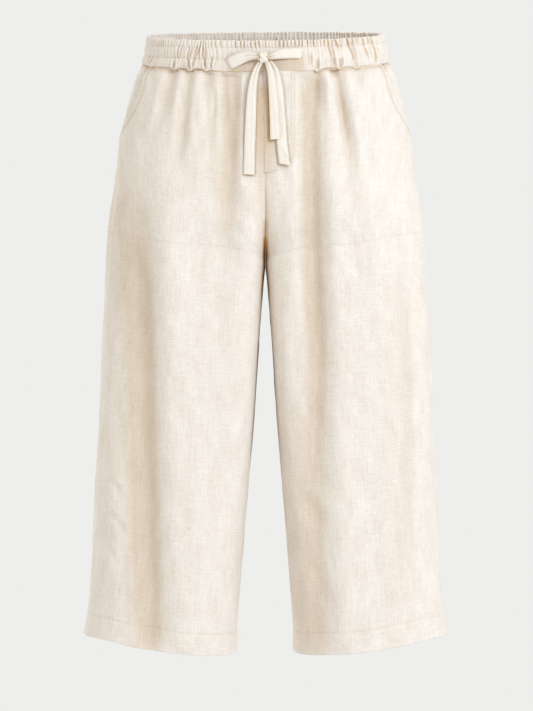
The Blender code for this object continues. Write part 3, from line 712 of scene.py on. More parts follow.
# Streaks of the linen, in lumps to a metre across and along
WARP_SLUBS = (430.0, 26.0)
WEFT_SLUBS = (48.0, 560.0)
WARP_THREADS = (1700.0, 150.0)
WEFT_THREADS = (150.0, 1700.0)
MOTTLES = (60.0, 26.0)
CRINKLES = (130.0, 55.0)
STREAK_ROUGHNESS = 0.55
# How much each changes the colour: the weft's threads against its slubs
TONE = {"warp": 0.4, "weft": 0.42, "warp_threads": 0.5, "weft_threads": 1.2, "mottles": 0.45}
TONE_ENDS = (0.15, 0.85)
LINEN_ROUGHNESS = 0.9
ROUGHNESS_CHANGES = (0.12, 0.1)  # with the mottles and with the weft's threads
LINEN_SPECULAR = 0.06
LINEN_SHEEN = 0.03
SHEEN_ROUGHNESS = 0.45
PLIES = 2600.0  # of the sewing thread, to a metre
PLY_HEIGHT = 0.0001
THREAD_DARK = 0.86
THREAD_ROUGHNESS = 0.75
THREAD_SPECULAR = 0.25
LIGHTS = (
    ("key", (2.3, -2.6, 1.4), (0.0, 0.0, -0.35), 1.5, 78.5, (0.81, 0.885, 1.0)),
    ("fill", (-2.6, -1.6, 0.3), (0.0, 0.0, -0.4), 1.6, 4.5, (1.0, 0.9, 0.76)),
    ("back", (-1.2, 2.4, 1.2), (0.0, 0.0, -0.4), 1.2, 45.0, (0.82, 0.9, 1.0)),
)
FLOOR_HEIGHT = -1.1
FLOOR_RADIUS = 1.6
FLOOR_SIDES = 96
FLOOR_ROUGHNESS = 0.9

COLOURS = {
    "linen": (0.795, 0.722, 0.645),
    "linen_dark": (0.668, 0.585, 0.488),
    "linen_light": (0.906, 0.848, 0.784),
    "tape": (0.845, 0.785, 0.705),
    "tape_dark": (0.735, 0.655, 0.55),
    "tape_light": (0.89, 0.845, 0.78),
    # Colours of painted shade, which darken the linen: in folds, in gathers, and the darkest, at the crotch
    "painted_fold_shade": (0.85, 0.79, 0.705),
    "painted_gather_shade": (0.77, 0.56, 0.32),
    "painted_crotch_shade": (0.7, 0.43, 0.16),
    "thread": (0.86, 0.8, 0.7),
    "sheen": (1.0, 0.97, 0.92),
    "studio": (0.855, 0.855, 0.839),
    "floor": (0.8, 0.8, 0.79),
}


# ---- form of the cloth

def smoothstep(low, high, value):
    share = np.clip((value - low) / (high - low), 0.0, 1.0)
    return share * share * (3.0 - 2.0 * share)


def through(marks, values, at):
    """Values at any mark, on a smooth curve through the given ones."""
    slopes = np.gradient(values, marks, axis=0)
    at = np.clip(at, marks[0], marks[-1])
    step = np.clip(np.searchsorted(marks, at) - 1, 0, len(marks) - 2)
    span = marks[step + 1] - marks[step]
    share = (at - marks[step]) / span
    if values.ndim > 1:
        span, share = span[..., None], share[..., None]
    rest = 1.0 - share
    ends = values[step] * (1 + 2 * share) * rest ** 2 + values[step + 1] * (1 + 2 * rest) * share ** 2
    return ends + span * share * rest * (slopes[step] * rest - slopes[step + 1] * share)


def section_value(level, name):
    """A section column at any level."""
    return through(-SECTIONS[:, 0], SECTIONS[:, SECTION_COLUMNS.index(name)], -np.asarray(level, float))


def leg_extent(level, face):
    """Middle and half width of a leg's section; above the crotch it passes the centre plane."""
    outer = section_value(level, "outer")
    parted = smoothstep(CROTCH + PARTING[face], CROTCH, level)
    inner = np.where(level > CROTCH, outer * (parted - 1.0) / (parted + 1.0), section_value(level, "gap"))
    return (outer + inner) / 2, (outer - inner) / 2


def centre_angle(level, face):
    """Angle at which the section meets the centre plane, or the inseam below the crotch."""
    middle, half = leg_extent(level, face)
    ratio = np.clip(middle / half, 0.0, 1.0)
    angle = math.pi - np.arccos(ratio ** (section_value(level, "inner_power") / 2))
    return np.where(level > CROTCH, angle, math.pi)


def angle_at(x, level, face):
    """Angle at which a leg's section has the given unsigned x."""
    middle, half = leg_extent(level, face)
    across = np.clip((x - middle) / half, -1.0, 1.0)
    name = np.where(across >= 0, section_value(level, "outer_power"), section_value(level, "inner_power"))
    return np.arccos(np.sign(across) * np.abs(across) ** (name / 2))


def soft_noise(x, y, z, size, seed):
    """Smooth noise from -1 to 1 in lumps of the given size."""
    lattice = np.random.default_rng(seed).uniform(-1.0, 1.0, (LATTICE, LATTICE, LATTICE))
    places = [np.asarray(value, float) / size for value in np.broadcast_arrays(x, y, z)]
    cells = [np.floor(place).astype(int) for place in places]
    shares = [smoothstep(0.0, 1.0, place - cell) for place, cell in zip(places, cells)]
    total = 0.0
    for corner in range(8):
        bits = [(corner >> axis) & 1 for axis in range(3)]
        weight = 1.0
        for bit, share in zip(bits, shares):
            weight = weight * (share if bit else 1.0 - share)
        total = total + weight * lattice[tuple((cell + bit) % LATTICE for cell, bit in zip(cells, bits))]
    return total


def fold_height(x, level, face):
    """Height of the long folds over the plain cloth at signed x."""
    total = np.zeros(np.broadcast(x, level).shape)
    for row in FOLDS[face]:
        fold = dict(zip(FOLD_COLUMNS, row))
        share = (fold["top"] - level) / (fold["top"] - fold["bottom"])
        strength = np.where((share >= 0.0) & (share <= 1.0), 1.0, 0.0)
        if fold["fade_in"] > 0:
            strength = strength * smoothstep(0.0, fold["fade_in"], share)
        if fold["fade_out"] > 0:
            strength = strength * (1.0 - smoothstep(1.0 - fold["fade_out"], 1.0, share))
        centre = fold["top_x"] + (fold["bottom_x"] - fold["top_x"]) * share
        centre = centre + fold["bow"] * 4 * share * (1 - share)
        across = (x - centre) / fold["width"]
        ridges = np.exp(-(across - SHOULDER_REACH) ** 2) + np.exp(-(across + SHOULDER_REACH) ** 2)
        total = total + fold["depth"] * strength * (SHOULDER_RISE * ridges - np.exp(-across ** 2))
    return total


def slope_height(x, level, face):
    """Height of the long slopes at signed x: a rise that eases back on both sides."""
    total = np.zeros(np.broadcast(x, level).shape)
    for row in SLOPES[face]:
        slope = dict(zip(FOLD_COLUMNS, row))
        share = (slope["top"] - level) / (slope["top"] - slope["bottom"])
        strength = smoothstep(0.0, slope["fade_in"], share)
        strength = strength * (1.0 - smoothstep(1.0 - slope["fade_out"], 1.0, share))
        centre = slope["top_x"] + (slope["bottom_x"] - slope["top_x"]) * share
        centre = centre + slope["bow"] * 4 * share * (1 - share)
        across = (x - centre) / slope["width"]
        total = total + slope["depth"] * strength * across * np.exp(-across ** 2 / 2)
    return total


def crease_height(across, height, rows):
    """Height of the finer creases, which fade at both ends."""
    total = np.zeros(np.broadcast(across, height).shape)
    for row in rows:
        crease = dict(zip(CREASE_COLUMNS, row))
        run_x, run_z = crease["to_x"] - crease["from_x"], crease["to_z"] - crease["from_z"]
        length = math.hypot(run_x, run_z)
        from_x, from_z = across - crease["from_x"], height - crease["from_z"]
        share = (from_x * run_x + from_z * run_z) / length ** 2
        off = (from_x * run_z - from_z * run_x) / length
        off = (off + crease["bow"] * 4 * share * (1 - share)) / crease["width"]
        strength = smoothstep(*CREASE_FADE_IN, share) * (1.0 - smoothstep(*CREASE_FADE_OUT, share))
        ridges = np.exp(-(off - SHOULDER_REACH) ** 2) + np.exp(-(off + SHOULDER_REACH) ** 2)
        total = total + crease["depth"] * strength * (CREASE_SHOULDER_RISE * ridges - np.exp(-off ** 2))
    return total


def crumple(x, y, z):
    """The small unevenness of washed linen."""
    total = 0.0
    for seed, (size, height) in enumerate(CRUMPLE, SEEDS["crumple"]):
        total = total + height * soft_noise(x, y, z / CRUMPLE_STRETCH, size, seed)
    return total


def pressed(rise, x, level):
    """Relief of a front, held down under the hanging tapes."""
    starts, full, eases, ends = PRESSED_X
    zone = smoothstep(starts, full, x) * smoothstep(ends, eases, x) * smoothstep(*PRESSED_LEVELS, level)
    over = PRESSED_ROUND * np.logaddexp(0.0, (rise - PRESSED_RISE) / PRESSED_ROUND)
    return rise - over * zone


def cloth(side, face, angle, level, lift=0.0, folded=True):
    """Points of the outer cloth, or lifted off it: arrays of angle and level to x, y, z."""
    angle, level = np.broadcast_arrays(np.asarray(angle, float), np.asarray(level, float))
    middle, half = leg_extent(level, face)
    depth = section_value(level, "front" if face == FRONT else "back")
    cosine, sine = np.cos(angle), np.abs(np.sin(angle))
    outer_side = cosine >= 0
    power = np.where(outer_side, section_value(level, "outer_power"), section_value(level, "inner_power"))
    across = np.sign(cosine) * np.abs(cosine) ** (2 / power)
    away = sine ** (2 / power)
    x = middle + half * across
    y = face * depth * away
    normal_x = np.sign(cosine) * np.abs(across) ** (power - 1) / half
    normal_y = face * away ** (power - 1) / depth
    length = np.hypot(normal_x, normal_y)
    normal_x, normal_y = normal_x / length, normal_y / length
    rise = 0.0
    if folded:
        rise = fold_height(side * x, level, face)
        rise = rise + slope_height(side * x, level, face) * np.abs(normal_y)
        rise = rise + crease_height(side * x, level, CREASES[face]) * np.abs(normal_y)
        sideways = np.where(outer_side, normal_x ** 2, 0.0)
        rise = rise + crease_height(y, level, SIDE_CREASES[side]) * sideways
        rise = rise + crumple(side * x, y, level)
        if face == FRONT:
            rise = pressed(rise, side * x, level)
    rise = rise + lift
    x = x + rise * normal_x
    y = y + rise * normal_y
    waist = smoothstep(WAIST_SLOPE_ENDS, WAIST_SEAM, level)
    hem = 1.0 - smoothstep(HEM_STITCH, HEM_SLOPE_STARTS, level)
    inward = section_value(level, "outer") - x
    z = level + waist * (WAIST_SLOPE * y + WAIST_ROLL * side * x)
    z = z + hem * (HEM_SLOPE * y - HEM_ROLL * inward)
    z = z + hem ** 3 * HEM_CORNER * np.exp(-((inward - HEM_CORNER_AT) / HEM_CORNER_REACH) ** 2)
    return np.stack([side * x, y, z], axis=-1)


def mouth_share(level):
    return (WAIST_SEAM - level) / (WAIST_SEAM - MOUTH_END)


def mouth_angle(level):
    return MOUTH_ANGLE * (1.0 - np.clip(mouth_share(level), 0.0, 1.0) ** MOUTH_POWER)


def sagged_angle(level):
    """Angle of the mouth's edge, which hangs open towards the side near its top."""
    whole = np.clip(mouth_share(level), 0.0, 1.0)
    share = np.clip(whole / MOUTH_SAG_ENDS, 0.0, 1.0)
    sag = MOUTH_SAG * np.sin(math.pi * share ** MOUTH_SAG_POWER)
    sag = sag + MOUTH_TOP_SAG * np.exp(-(whole / MOUTH_TOP_SAG_ENDS) ** 2)
    return mouth_angle(level) - sag


def mouth_opening(level):
    """How far open a pocket mouth is, from 0 at its ends to 1."""
    return np.sin(math.pi * np.clip(mouth_share(level), 0.0, 1.0) ** MOUTH_GAPE_POWER)


def gape(beyond_edge, level):
    """How far the cloth beside a pocket mouth stands off."""
    return MOUTH_GAPE * mouth_opening(level) * np.exp(-(beyond_edge / MOUTH_GAPE_ANGLE) ** 2)


def run_along(points):
    """Distance along a line of points, from its first."""
    steps = np.linalg.norm(np.diff(points, axis=0), axis=1)
    return np.concatenate(([0.0], np.cumsum(steps)))


# ---- meshes

def add_piece(name, mesh, material):
    """A finished piece: in the scene, on the body, with its material."""
    mesh.materials.append(material)
    piece = bpy.data.objects.new(name, mesh)
    bpy.context.scene.collection.objects.link(piece)
    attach(piece, BODY)
    return piece


def apply_modifiers(piece):
    """Apply what is on the piece's stack, with nothing else selected."""
    for other in bpy.context.selected_objects:
        other.select_set(False)
    piece.select_set(True)
    bpy.context.view_layer.objects.active = piece
    for modifier in list(piece.modifiers):
        bpy.ops.object.modifier_apply(modifier=modifier.name)
    piece.select_set(False)


def thicken(piece, thickness=SHELL):
    """Give an open sheet its cloth's thickness, inwards from its outer face."""
    shell = piece.modifiers.new("cloth", "SOLIDIFY")
    shell.thickness = thickness
    shell.offset = -1.0
    shell.use_even_offset = False
    apply_modifiers(piece)


def sheet_mesh(name, points, flat, turned=False, closed_rows=False, closed_columns=False, painted_shade=None):
    """Quads over rows of points, with their places on the flat cut as a UV map, in metres.

    Where rows or columns close on the first, flat has one more of them than points. Painted shade says how
    much shade is painted into the colour at each point, from 0 to 1: in folds, gathers and seams, and in
    the shadows of other pieces.
    """
    rows, columns = points.shape[:2]
    last_row = rows if closed_rows else rows - 1
    last_column = columns if closed_columns else columns - 1
    row, column = np.mgrid[0:last_row, 0:last_column]
    corners = ((row, column), (row, column + 1), (row + 1, column + 1), (row + 1, column))
    if turned:
        corners = corners[::-1]
    faces = np.stack([(r % rows) * columns + c % columns for r, c in corners], axis=-1).reshape(-1, 4)
    places = np.stack([flat[r, c] for r, c in corners], axis=-2).reshape(-1, 2)
    mesh = bpy.data.meshes.new(name)
    mesh.from_pydata(points.reshape(-1, 3).tolist(), [], faces.tolist())
    layer = mesh.uv_layers.new(name=CUT_MAP)
    layer.data.foreach_set("uv", places.astype(np.float32).ravel())
    depths = mesh.attributes.new(PAINTED_SHADE_ATTRIBUTE, "FLOAT", "POINT")
    if painted_shade is not None:
        depths.data.foreach_set("value", np.clip(painted_shade, 0.0, 1.0).astype(np.float32).ravel())
    return mesh


def soften(mesh, degrees=50.0):
    mesh.shade_smooth()
    mesh.set_sharp_from_angle(angle=math.radians(degrees))


def cap_ends(piece, degrees=50.0):
    """Close every open edge of a piece with a flat face."""
    form = bmesh.new()
    form.from_mesh(piece.data)
    open_edges = [edge for edge in form.edges if edge.is_boundary]
    bmesh.ops.holes_fill(form, edges=open_edges, sides=0)
    form.to_mesh(piece.data)
    form.free()
    soften(piece.data, degrees)


def flat_places(points, start=0.0, down=None):
    """Places on the flat cut: run across each row, and the height down the columns."""
    across = np.array([run_along(row) for row in points]) + np.reshape(start, (-1, 1))
    along = run_along(points[:, points.shape[1] // 2]) if down is None else down
    return np.stack([across, np.broadcast_to(np.reshape(along, (-1, 1)), across.shape)], axis=-1)


# ---- materials

def add_node(tree, kind, settings=(), **inputs):
    made = tree.nodes.new(kind)
    for name, value in dict(settings).items():
        setattr(made, name, value)
    for name, value in inputs.items():
        socket = made.inputs[name.replace("_", " ")]
        if isinstance(value, bpy.types.NodeSocket):
            tree.links.new(value, socket)
        else:
            socket.default_value = value
    return made


def calculate(tree, operation, first, second=0.0):
    """A Math node on two numbers or sockets."""
    made = tree.nodes.new("ShaderNodeMath")
    made.operation = operation
    for socket, value in zip(made.inputs, (first, second)):
        if isinstance(value, bpy.types.NodeSocket):
            tree.links.new(value, socket)
        else:
            socket.default_value = value
    return made.outputs[0]


def streaks(tree, places, across, along, detail=2.0):
    """Noise in streaks, from its lumps to a metre each way."""
    spread = add_node(tree, "ShaderNodeMapping", Vector=places, Scale=(across, along, 1.0))
    noise = add_node(tree, "ShaderNodeTexNoise", Vector=spread.outputs[0], Scale=1.0, Detail=detail,
                     Roughness=STREAK_ROUGHNESS)
    return noise.outputs["Fac"]


def weighted_sum(tree, terms):
    """The sum of sockets, each about its middle of a half, times its weight."""
    total = None
    for socket, weight in terms:
        term = calculate(tree, "MULTIPLY", calculate(tree, "SUBTRACT", socket, 0.5), weight)
        total = term if total is None else calculate(tree, "ADD", total, term)
    return total


def linen_material(name, dark, middle, light, thread_pitch, crinkle, weft_tone=TONE["weft"]):
    """Washed plain-weave linen: slubs both ways, mottling, a weave and fine crinkles, and shade painted
    into its colour through the painted-shade attribute.
    """
    material = bpy.data.materials.new(name)
    material.use_nodes = True
    tree = material.node_tree
    shader = tree.nodes["Principled BSDF"]
    places = add_node(tree, "ShaderNodeUVMap", {"uv_map": CUT_MAP}).outputs[0]

    warp = streaks(tree, places, *WARP_SLUBS)
    weft = streaks(tree, places, *WEFT_SLUBS)
    fine_warp = streaks(tree, places, *WARP_THREADS)
    fine_weft = streaks(tree, places, *WEFT_THREADS)
    mottle = streaks(tree, places, *MOTTLES, detail=4.0)
    tone = weighted_sum(tree, (
        (warp, TONE["warp"]),
        (weft, weft_tone),
        (fine_warp, TONE["warp_threads"]),
        (fine_weft, TONE["weft_threads"] * weft_tone),
        (mottle, TONE["mottles"]),
    ))
    tone = calculate(tree, "ADD", tone, 0.5)
    ramp = add_node(tree, "ShaderNodeValToRGB", Fac=tone)
    for element, position, colour in zip(ramp.color_ramp.elements, TONE_ENDS, (dark, light)):
        element.position = position
        element.color = (*colour, 1.0)
    ramp.color_ramp.elements.new(0.5).color = (*middle, 1.0)
    # Painted shade: the attribute picks a colour of shade, from white through the folds' and the gathers'
    # to the crotch's, which darkens the linen's colour
    painted_shade = add_node(tree, "ShaderNodeAttribute", {"attribute_name": PAINTED_SHADE_ATTRIBUTE}).outputs["Fac"]
    painted_shade_ramp = add_node(tree, "ShaderNodeValToRGB", Fac=painted_shade)
    painted_shade_ramp.color_ramp.elements[0].color = (1.0, 1.0, 1.0, 1.0)
    painted_shade_ramp.color_ramp.elements[1].color = (*COLOURS["painted_crotch_shade"], 1.0)
    painted_shade_ramp.color_ramp.elements.new(FOLD_SHADE).color = (*COLOURS["painted_fold_shade"], 1.0)
    painted_shade_ramp.color_ramp.elements.new(GATHER_STOP).color = (*COLOURS["painted_gather_shade"], 1.0)
    painted_shade_mix = tree.nodes.new("ShaderNodeMix")
    painted_shade_mix.data_type = "RGBA"
    painted_shade_mix.blend_type = "MULTIPLY"
    factor, first, second = (painted_shade_mix.inputs[place] for place in (0, 6, 7))
    factor.default_value = 1.0
    tree.links.new(ramp.outputs["Color"], first)
    tree.links.new(painted_shade_ramp.outputs["Color"], second)
    tree.links.new(painted_shade_mix.outputs[2], shader.inputs["Base Color"])

    parts = add_node(tree, "ShaderNodeSeparateXYZ", Vector=places)
    threads = []
    for axis in ("X", "Y"):
        turn = calculate(tree, "MULTIPLY", parts.outputs[axis], math.pi / thread_pitch)
        threads.append(calculate(tree, "SINE", turn))
    crossing = calculate(tree, "MULTIPLY", *threads)
    rounds = calculate(tree, "ADD", *(calculate(tree, "ABSOLUTE", thread) for thread in threads))
    weave = calculate(tree, "MULTIPLY", calculate(tree, "ADD", crossing, rounds), WEAVE_HEIGHT)
    crinkles = streaks(tree, places, *CRINKLES, detail=5.0)
    slubs = weighted_sum(tree, ((warp, SLUB_HEIGHT), (weft, SLUB_HEIGHT), (fine_warp, SLUB_HEIGHT / 2),
                                (crinkles, crinkle)))
    height = calculate(tree, "ADD", weave, slubs)
    bump = add_node(tree, "ShaderNodeBump", Strength=1.0, Distance=1.0, Height=height)
    tree.links.new(bump.outputs[0], shader.inputs["Normal"])

    changes = weighted_sum(tree, zip((mottle, fine_weft), ROUGHNESS_CHANGES))
    tree.links.new(calculate(tree, "ADD", changes, LINEN_ROUGHNESS), shader.inputs["Roughness"])
    shader.inputs["Specular IOR Level"].default_value = LINEN_SPECULAR
    shader.inputs["Sheen Weight"].default_value = LINEN_SHEEN
    shader.inputs["Sheen Roughness"].default_value = SHEEN_ROUGHNESS
    shader.inputs["Sheen Tint"].default_value = (*COLOURS["sheen"], 1.0)
    return material


def thread_material():
    """Spun thread: twisted plies along its own length."""
    material = bpy.data.materials.new("sewing_thread")
    material.use_nodes = True
    tree = material.node_tree
    shader = tree.nodes["Principled BSDF"]
    places = add_node(tree, "ShaderNodeTexCoord").outputs["Object"]
    plies = add_node(tree, "ShaderNodeTexNoise", Vector=places, Scale=PLIES, Detail=2.0)
    ramp = add_node(tree, "ShaderNodeValToRGB", Fac=plies.outputs["Fac"])
    ramp.color_ramp.elements[0].color = (*(THREAD_DARK * part for part in COLOURS["thread"]), 1.0)
    ramp.color_ramp.elements[1].color = (*COLOURS["thread"], 1.0)
    tree.links.new(ramp.outputs["Color"], shader.inputs["Base Color"])
    bump = add_node(tree, "ShaderNodeBump", Strength=0.5, Distance=PLY_HEIGHT, Height=plies.outputs["Fac"])
    tree.links.new(bump.outputs[0], shader.inputs["Normal"])
    shader.inputs["Roughness"].default_value = THREAD_ROUGHNESS
    shader.inputs["Specular IOR Level"].default_value = THREAD_SPECULAR
    return material


# ---- camera, lights, floor

def set_camera():
    camera = bpy.data.cameras.new("camera")
    camera.sensor_width = SENSOR
    camera.lens = SENSOR * FOCAL_PIXELS / PHOTO_HEIGHT
    camera.clip_end = FARTHEST
    holder = bpy.data.objects.new("camera", camera)
    holder.location = CAMERA_AT
    holder.rotation_euler = (math.pi / 2, 0.0, 0.0)
    bpy.context.scene.collection.objects.link(holder)
    bpy.context.scene.camera = holder


def set_light(name, place, aim, size, power, colour):
    light = bpy.data.lights.new(name, "AREA")
    light.shape = "DISK"
    light.size = size
    light.energy = power
    light.color = colour
    holder = bpy.data.objects.new(name, light)
    holder.location = place
    holder.rotation_euler = (Vector(aim) - Vector(place)).to_track_quat("-Z", "Y").to_euler()
    bpy.context.scene.collection.objects.link(holder)


def set_studio():
    scene = bpy.context.scene
    scene.view_settings.view_transform = "Standard"
    world = bpy.data.worlds.new("studio")
    world.use_nodes = True
    backdrop = world.node_tree.nodes["Background"]
    backdrop.inputs["Color"].default_value = (*COLOURS["studio"], 1.0)
    backdrop.inputs["Strength"].default_value = 1.0
    scene.world = world
    for name, place, aim, size, power, colour in LIGHTS:
        set_light(name, place, aim, size, power, colour)


def make_floor():
    """A pale studio floor, below the hanging garment."""
    bpy.ops.mesh.primitive_circle_add(vertices=FLOOR_SIDES, radius=FLOOR_RADIUS, fill_type="NGON",
                                      location=(0.0, 0.0, FLOOR_HEIGHT))
    floor = bpy.context.object
    floor.name = "studio_floor"
    material = bpy.data.materials.new("studio_floor_paint")
    material.use_nodes = True
    shader = material.node_tree.nodes["Principled BSDF"]
    shader.inputs["Base Color"].default_value = (*COLOURS["floor"], 1.0)
    shader.inputs["Roughness"].default_value = FLOOR_ROUGHNESS
    floor.data.materials.append(material)
    floor.select_set(False)


# ---- fronts and backs

def rise_levels(face):
    """Run down the rise seam and the level at each of its fine samples."""
    top = WAIST_SEAM - SEAM_GAP
    fine = CROTCH + (top - CROTCH) * (1.0 - np.linspace(0.0, 1.0, RUN_SAMPLES)) ** 2
    return run_along(cloth(LEFT, face, centre_angle(fine, face), fine, folded=False)), fine


def panel_rows(face):
    """Levels of a panel's rows at its inner and outer ends, and how far each is tucked in.

    The first rows go up under the waistband, and the last roll round the hem's edge.
    """
    run, fine = rise_levels(face)
    near = np.arange(0.0, WAIST_SEAM - TOP_ROWS_END, TOP_ROW_PITCH)
    far = np.linspace(near[-1], run[-1], round((run[-1] - near[-1]) / ROW_PITCH))[1:]
    rise = np.concatenate((near, far))
    inner_rise = np.interp(rise, run, fine)
    mouth_end = run[-1] * MOUTH_SHARE_OF_RISE
    outer_rise = np.interp(rise, (0.0, mouth_end, run[-1]), (fine[0], MOUTH_END, CROTCH_ROW_OUTER))
    hem_starts = HEM_STITCH + HEM_ROWS_ABOVE
    leg = np.linspace(0.0, 1.0, round((CROTCH - hem_starts) / ROW_PITCH) + 1)[1:]
    inner_leg = CROTCH + (hem_starts - CROTCH) * leg
    outer_leg = CROTCH_ROW_OUTER + (hem_starts - CROTCH_ROW_OUTER) * leg
    hem = np.linspace(hem_starts, HEM_EDGE, round((hem_starts - HEM_EDGE) / HEM_ROW_PITCH) + 1)[1:]
    top_levels, top_lifts = np.array(UNDER_BAND).T
    roll_levels, roll_lifts = np.array(HEM_ROUND).T
    above, roll = WAIST_SEAM + top_levels, HEM_EDGE + roll_levels
    inner = np.concatenate((above, inner_rise, inner_leg, hem[:-1], roll))
    outer = np.concatenate((above, outer_rise, outer_leg, hem[:-1], roll))
    plain = np.zeros(len(inner) - len(top_lifts) - len(roll_lifts))
    return inner, outer, np.concatenate((top_lifts, plain, roll_lifts))


def hem_relief(x, level, face):
    """The stitched groove above a hem, and the puckers and the flare below it."""
    groove = -HEM_GROOVE * np.exp(-((level - HEM_STITCH) / HEM_GROOVE_REACH) ** 2)
    above, under = HEM_PUCKER_STARTS
    below = smoothstep(HEM_STITCH + above, HEM_STITCH + under, level)
    pucker = HEM_PUCKER * soft_noise(x, face * APART["hem"], level / HEM_PUCKER_STRETCH,
                                     HEM_PUCKER_SIZE, SEEDS["hem"])
    flare = HEM_FLARE * np.clip((HEM_STITCH - level) / (HEM_STITCH - HEM_EDGE), 0.0, HEM_FLARE_MOST)
    return groove + below * pucker + flare


def centre_shade(x, level):
    """Shade between the two bundles of hanging tape."""
    top, full, eases, ends = CENTRE_SHADE_LEVELS
    along = smoothstep(top, full, level) * (1.0 - CENTRE_SHADE_EASE * smoothstep(eases, ends, level))
    return CENTRE_SHADE * along * np.exp(-(x / CENTRE_SHADE_REACH) ** CENTRE_SHADE_POWER)


def tape_shade(x, z):
    """Warm shade on the cloth just beside the tapes."""
    shade = np.zeros(np.broadcast(x, z).shape)
    for route in TAILS.values():
        route_x, _, route_z, width = np.array(route)[::-1].T
        beyond = np.abs(x - np.interp(z, route_z, route_x)) - TAPE_EASE * np.interp(z, route_z, width) / 2
        within = smoothstep(route_z[0] - TAIL_SHADE_FADE, route_z[0], z) * (z < route_z[-1])
        shade = np.maximum(shade, within * np.exp(-(np.maximum(beyond, 0.0) / TAPE_SHADE_REACH) ** 2))
    for route in RUNS.values():
        route_x, _, route_z, width, _ = np.array(sorted(route)).T
        below = np.interp(x, route_x, route_z) - np.interp(x, route_x, width) / 2 - z
        within = smoothstep(route_x[0] - RUN_SHADE_FADE, route_x[0] + RUN_SHADE_FADE, x)
        within = within * smoothstep(route_x[-1], route_x[-1] - RUN_SHADE_FADE, x)
        near = np.exp(-(below / (2 * TAPE_SHADE_REACH)) ** 2) * (below > RUN_SHADE_ABOVE)
        shade = np.maximum(shade, within * near)
    return TAPE_SHADE * shade


def crotch_painted_shade(side, x, level):
    """Painted shade: the dark strip where the legs meet at the crotch, and the narrower lines that go on
    beside the inseams.
    """
    top, tan, deep, full, eases, ends = CROTCH_SHADE_LEVELS
    along = CROTCH_TAN * smoothstep(top, tan, level) + (1.0 - CROTCH_TAN) * smoothstep(deep, full, level)
    above, under = CROTCH_NARROWS
    narrowed = smoothstep(CROTCH + above, CROTCH + under, level)
    reach = CROTCH_SHADE_REACH + (INSEAM_EDGE_REACH - CROTCH_SHADE_REACH) * narrowed
    beside = (np.abs(x) - section_value(level, "gap")) / reach
    strip = CROTCH_SHADE * along * smoothstep(ends, eases, level) * np.exp(-beside ** CROTCH_SHADE_POWER)
    return strip * (1.0 - LEFT_INSEAM_EASE * narrowed * (side == LEFT))


def panel_painted_shade(side, face, points, level, from_inner, from_outer, seamed):
    """Shade painted on each point of a panel: in its folds and creases, at its seams, the crotch, the hem
    and under the waistband, and on the fronts along the pocket's stitching, between the tapes and in their
    shadows.
    """
    x = points[..., 0]
    relief = fold_height(x, level, face) + slope_height(x, level, face)
    relief = relief + crease_height(x, level, CREASES[face])
    folds = FOLD_SHADE * np.clip(-relief / FOLD_SHADE_DEPTH, 0.0, 1.0)
    inseam = smoothstep(CROTCH, CROTCH - INSEAM_FADE, level)
    seams = SEAM_SHADE * (1.0 - INSEAM_EASE * inseam) * np.exp(-(from_inner / SEAM_SHADE_REACH) ** 2)
    seams = seams + SEAM_SHADE * seamed * np.exp(-(from_outer / SEAM_SHADE_REACH) ** 2)
    ridge = INSEAM_SHADE * inseam * np.exp(-((from_inner - INSEAM_RIDGE) / SEAM_SHADE_REACH) ** 2)
    dents = np.clip(-hem_relief(x, level, face) / HEM_SHADE_DEPTH, 0.0, 1.0)
    top = TOP_SHADE * np.exp(-np.maximum(WAIST_SEAM - level, 0.0) / TOP_SHADE_REACH)
    deepest = np.maximum(crotch_painted_shade(side, x, level), seams)
    mouth = 0.0
    if face == FRONT:
        row = sum(np.exp(-((from_outer - inset) / FLY_ROW_REACH) ** 2) for inset in MOUTH_TOPSTITCH)
        mouth = MOUTH_ROW_SHADE * (1.0 - seamed) * row
        deepest = np.maximum(deepest, centre_shade(x, level) + tape_shade(x, points[..., 2]))
    return folds + ridge + deepest + dents * HEM_SHADE + top + mouth


def waist_puckers(x, level, face):
    """Fine gathers that run out below the waistband."""
    fade = np.exp(-np.maximum(WAIST_SEAM - level, 0.0) / PUCKER_LENGTH)
    wave = soft_noise(x, face * APART["puckers"], level / PUCKER_STRETCH, PUCKER_SIZE, SEEDS["puckers"])
    outside = 1.0
    if face == FRONT:
        outside = smoothstep(PLAIN_HALF - PUCKER_STARTS, PLAIN_HALF + PLAIN_FADE, np.abs(x))
    return PUCKER_HEIGHT * fade * wave * outside


def panel_points(side, face, rows, share, lift, folded=True):
    """Rows of points over a front or back, at shares of the way from its inner edge."""
    inner, outer, tuck = rows
    start = centre_angle(inner, face)
    end = sagged_angle(outer) if face == FRONT else np.zeros(len(outer))
    level = inner[:, None] + (outer - inner)[:, None] * smoothstep(0.0, 1.0, share)
    angle = start[:, None] + (end - start)[:, None] * share
    lift = lift + tuck[:, None]
    if face == FRONT:
        lift = lift + gape(angle - end[:, None], level)
    if folded:
        x = side * cloth(side, face, angle, level, folded=False)[..., 0]
        lift = lift + hem_relief(side * x, level, face) + waist_puckers(side * x, level, face)
    points = cloth(side, face, angle, level, lift, folded)
    points[..., 0] = side * np.maximum(side * points[..., 0], SEAM_GAP / 2)
    return points


def column_places(runs, fine):
    """Shares of the way over each row, closest beside its seams, and the distances from its ends."""
    columns = round(runs[:, -1].max() / COLUMN_PITCH)
    marks = np.array(EDGE_MARKS)
    share, from_inner, from_outer = [], [], []
    for run in runs:
        length = run[-1]
        between = np.linspace(marks[-1], length - marks[-1], columns)[1:-1]
        at = np.concatenate((marks, between, (length - marks)[::-1]))
        share.append(np.interp(at, run, fine))
        from_inner.append(at)
        from_outer.append(length - at)
    return np.array(share), np.array(from_inner), np.array(from_outer)


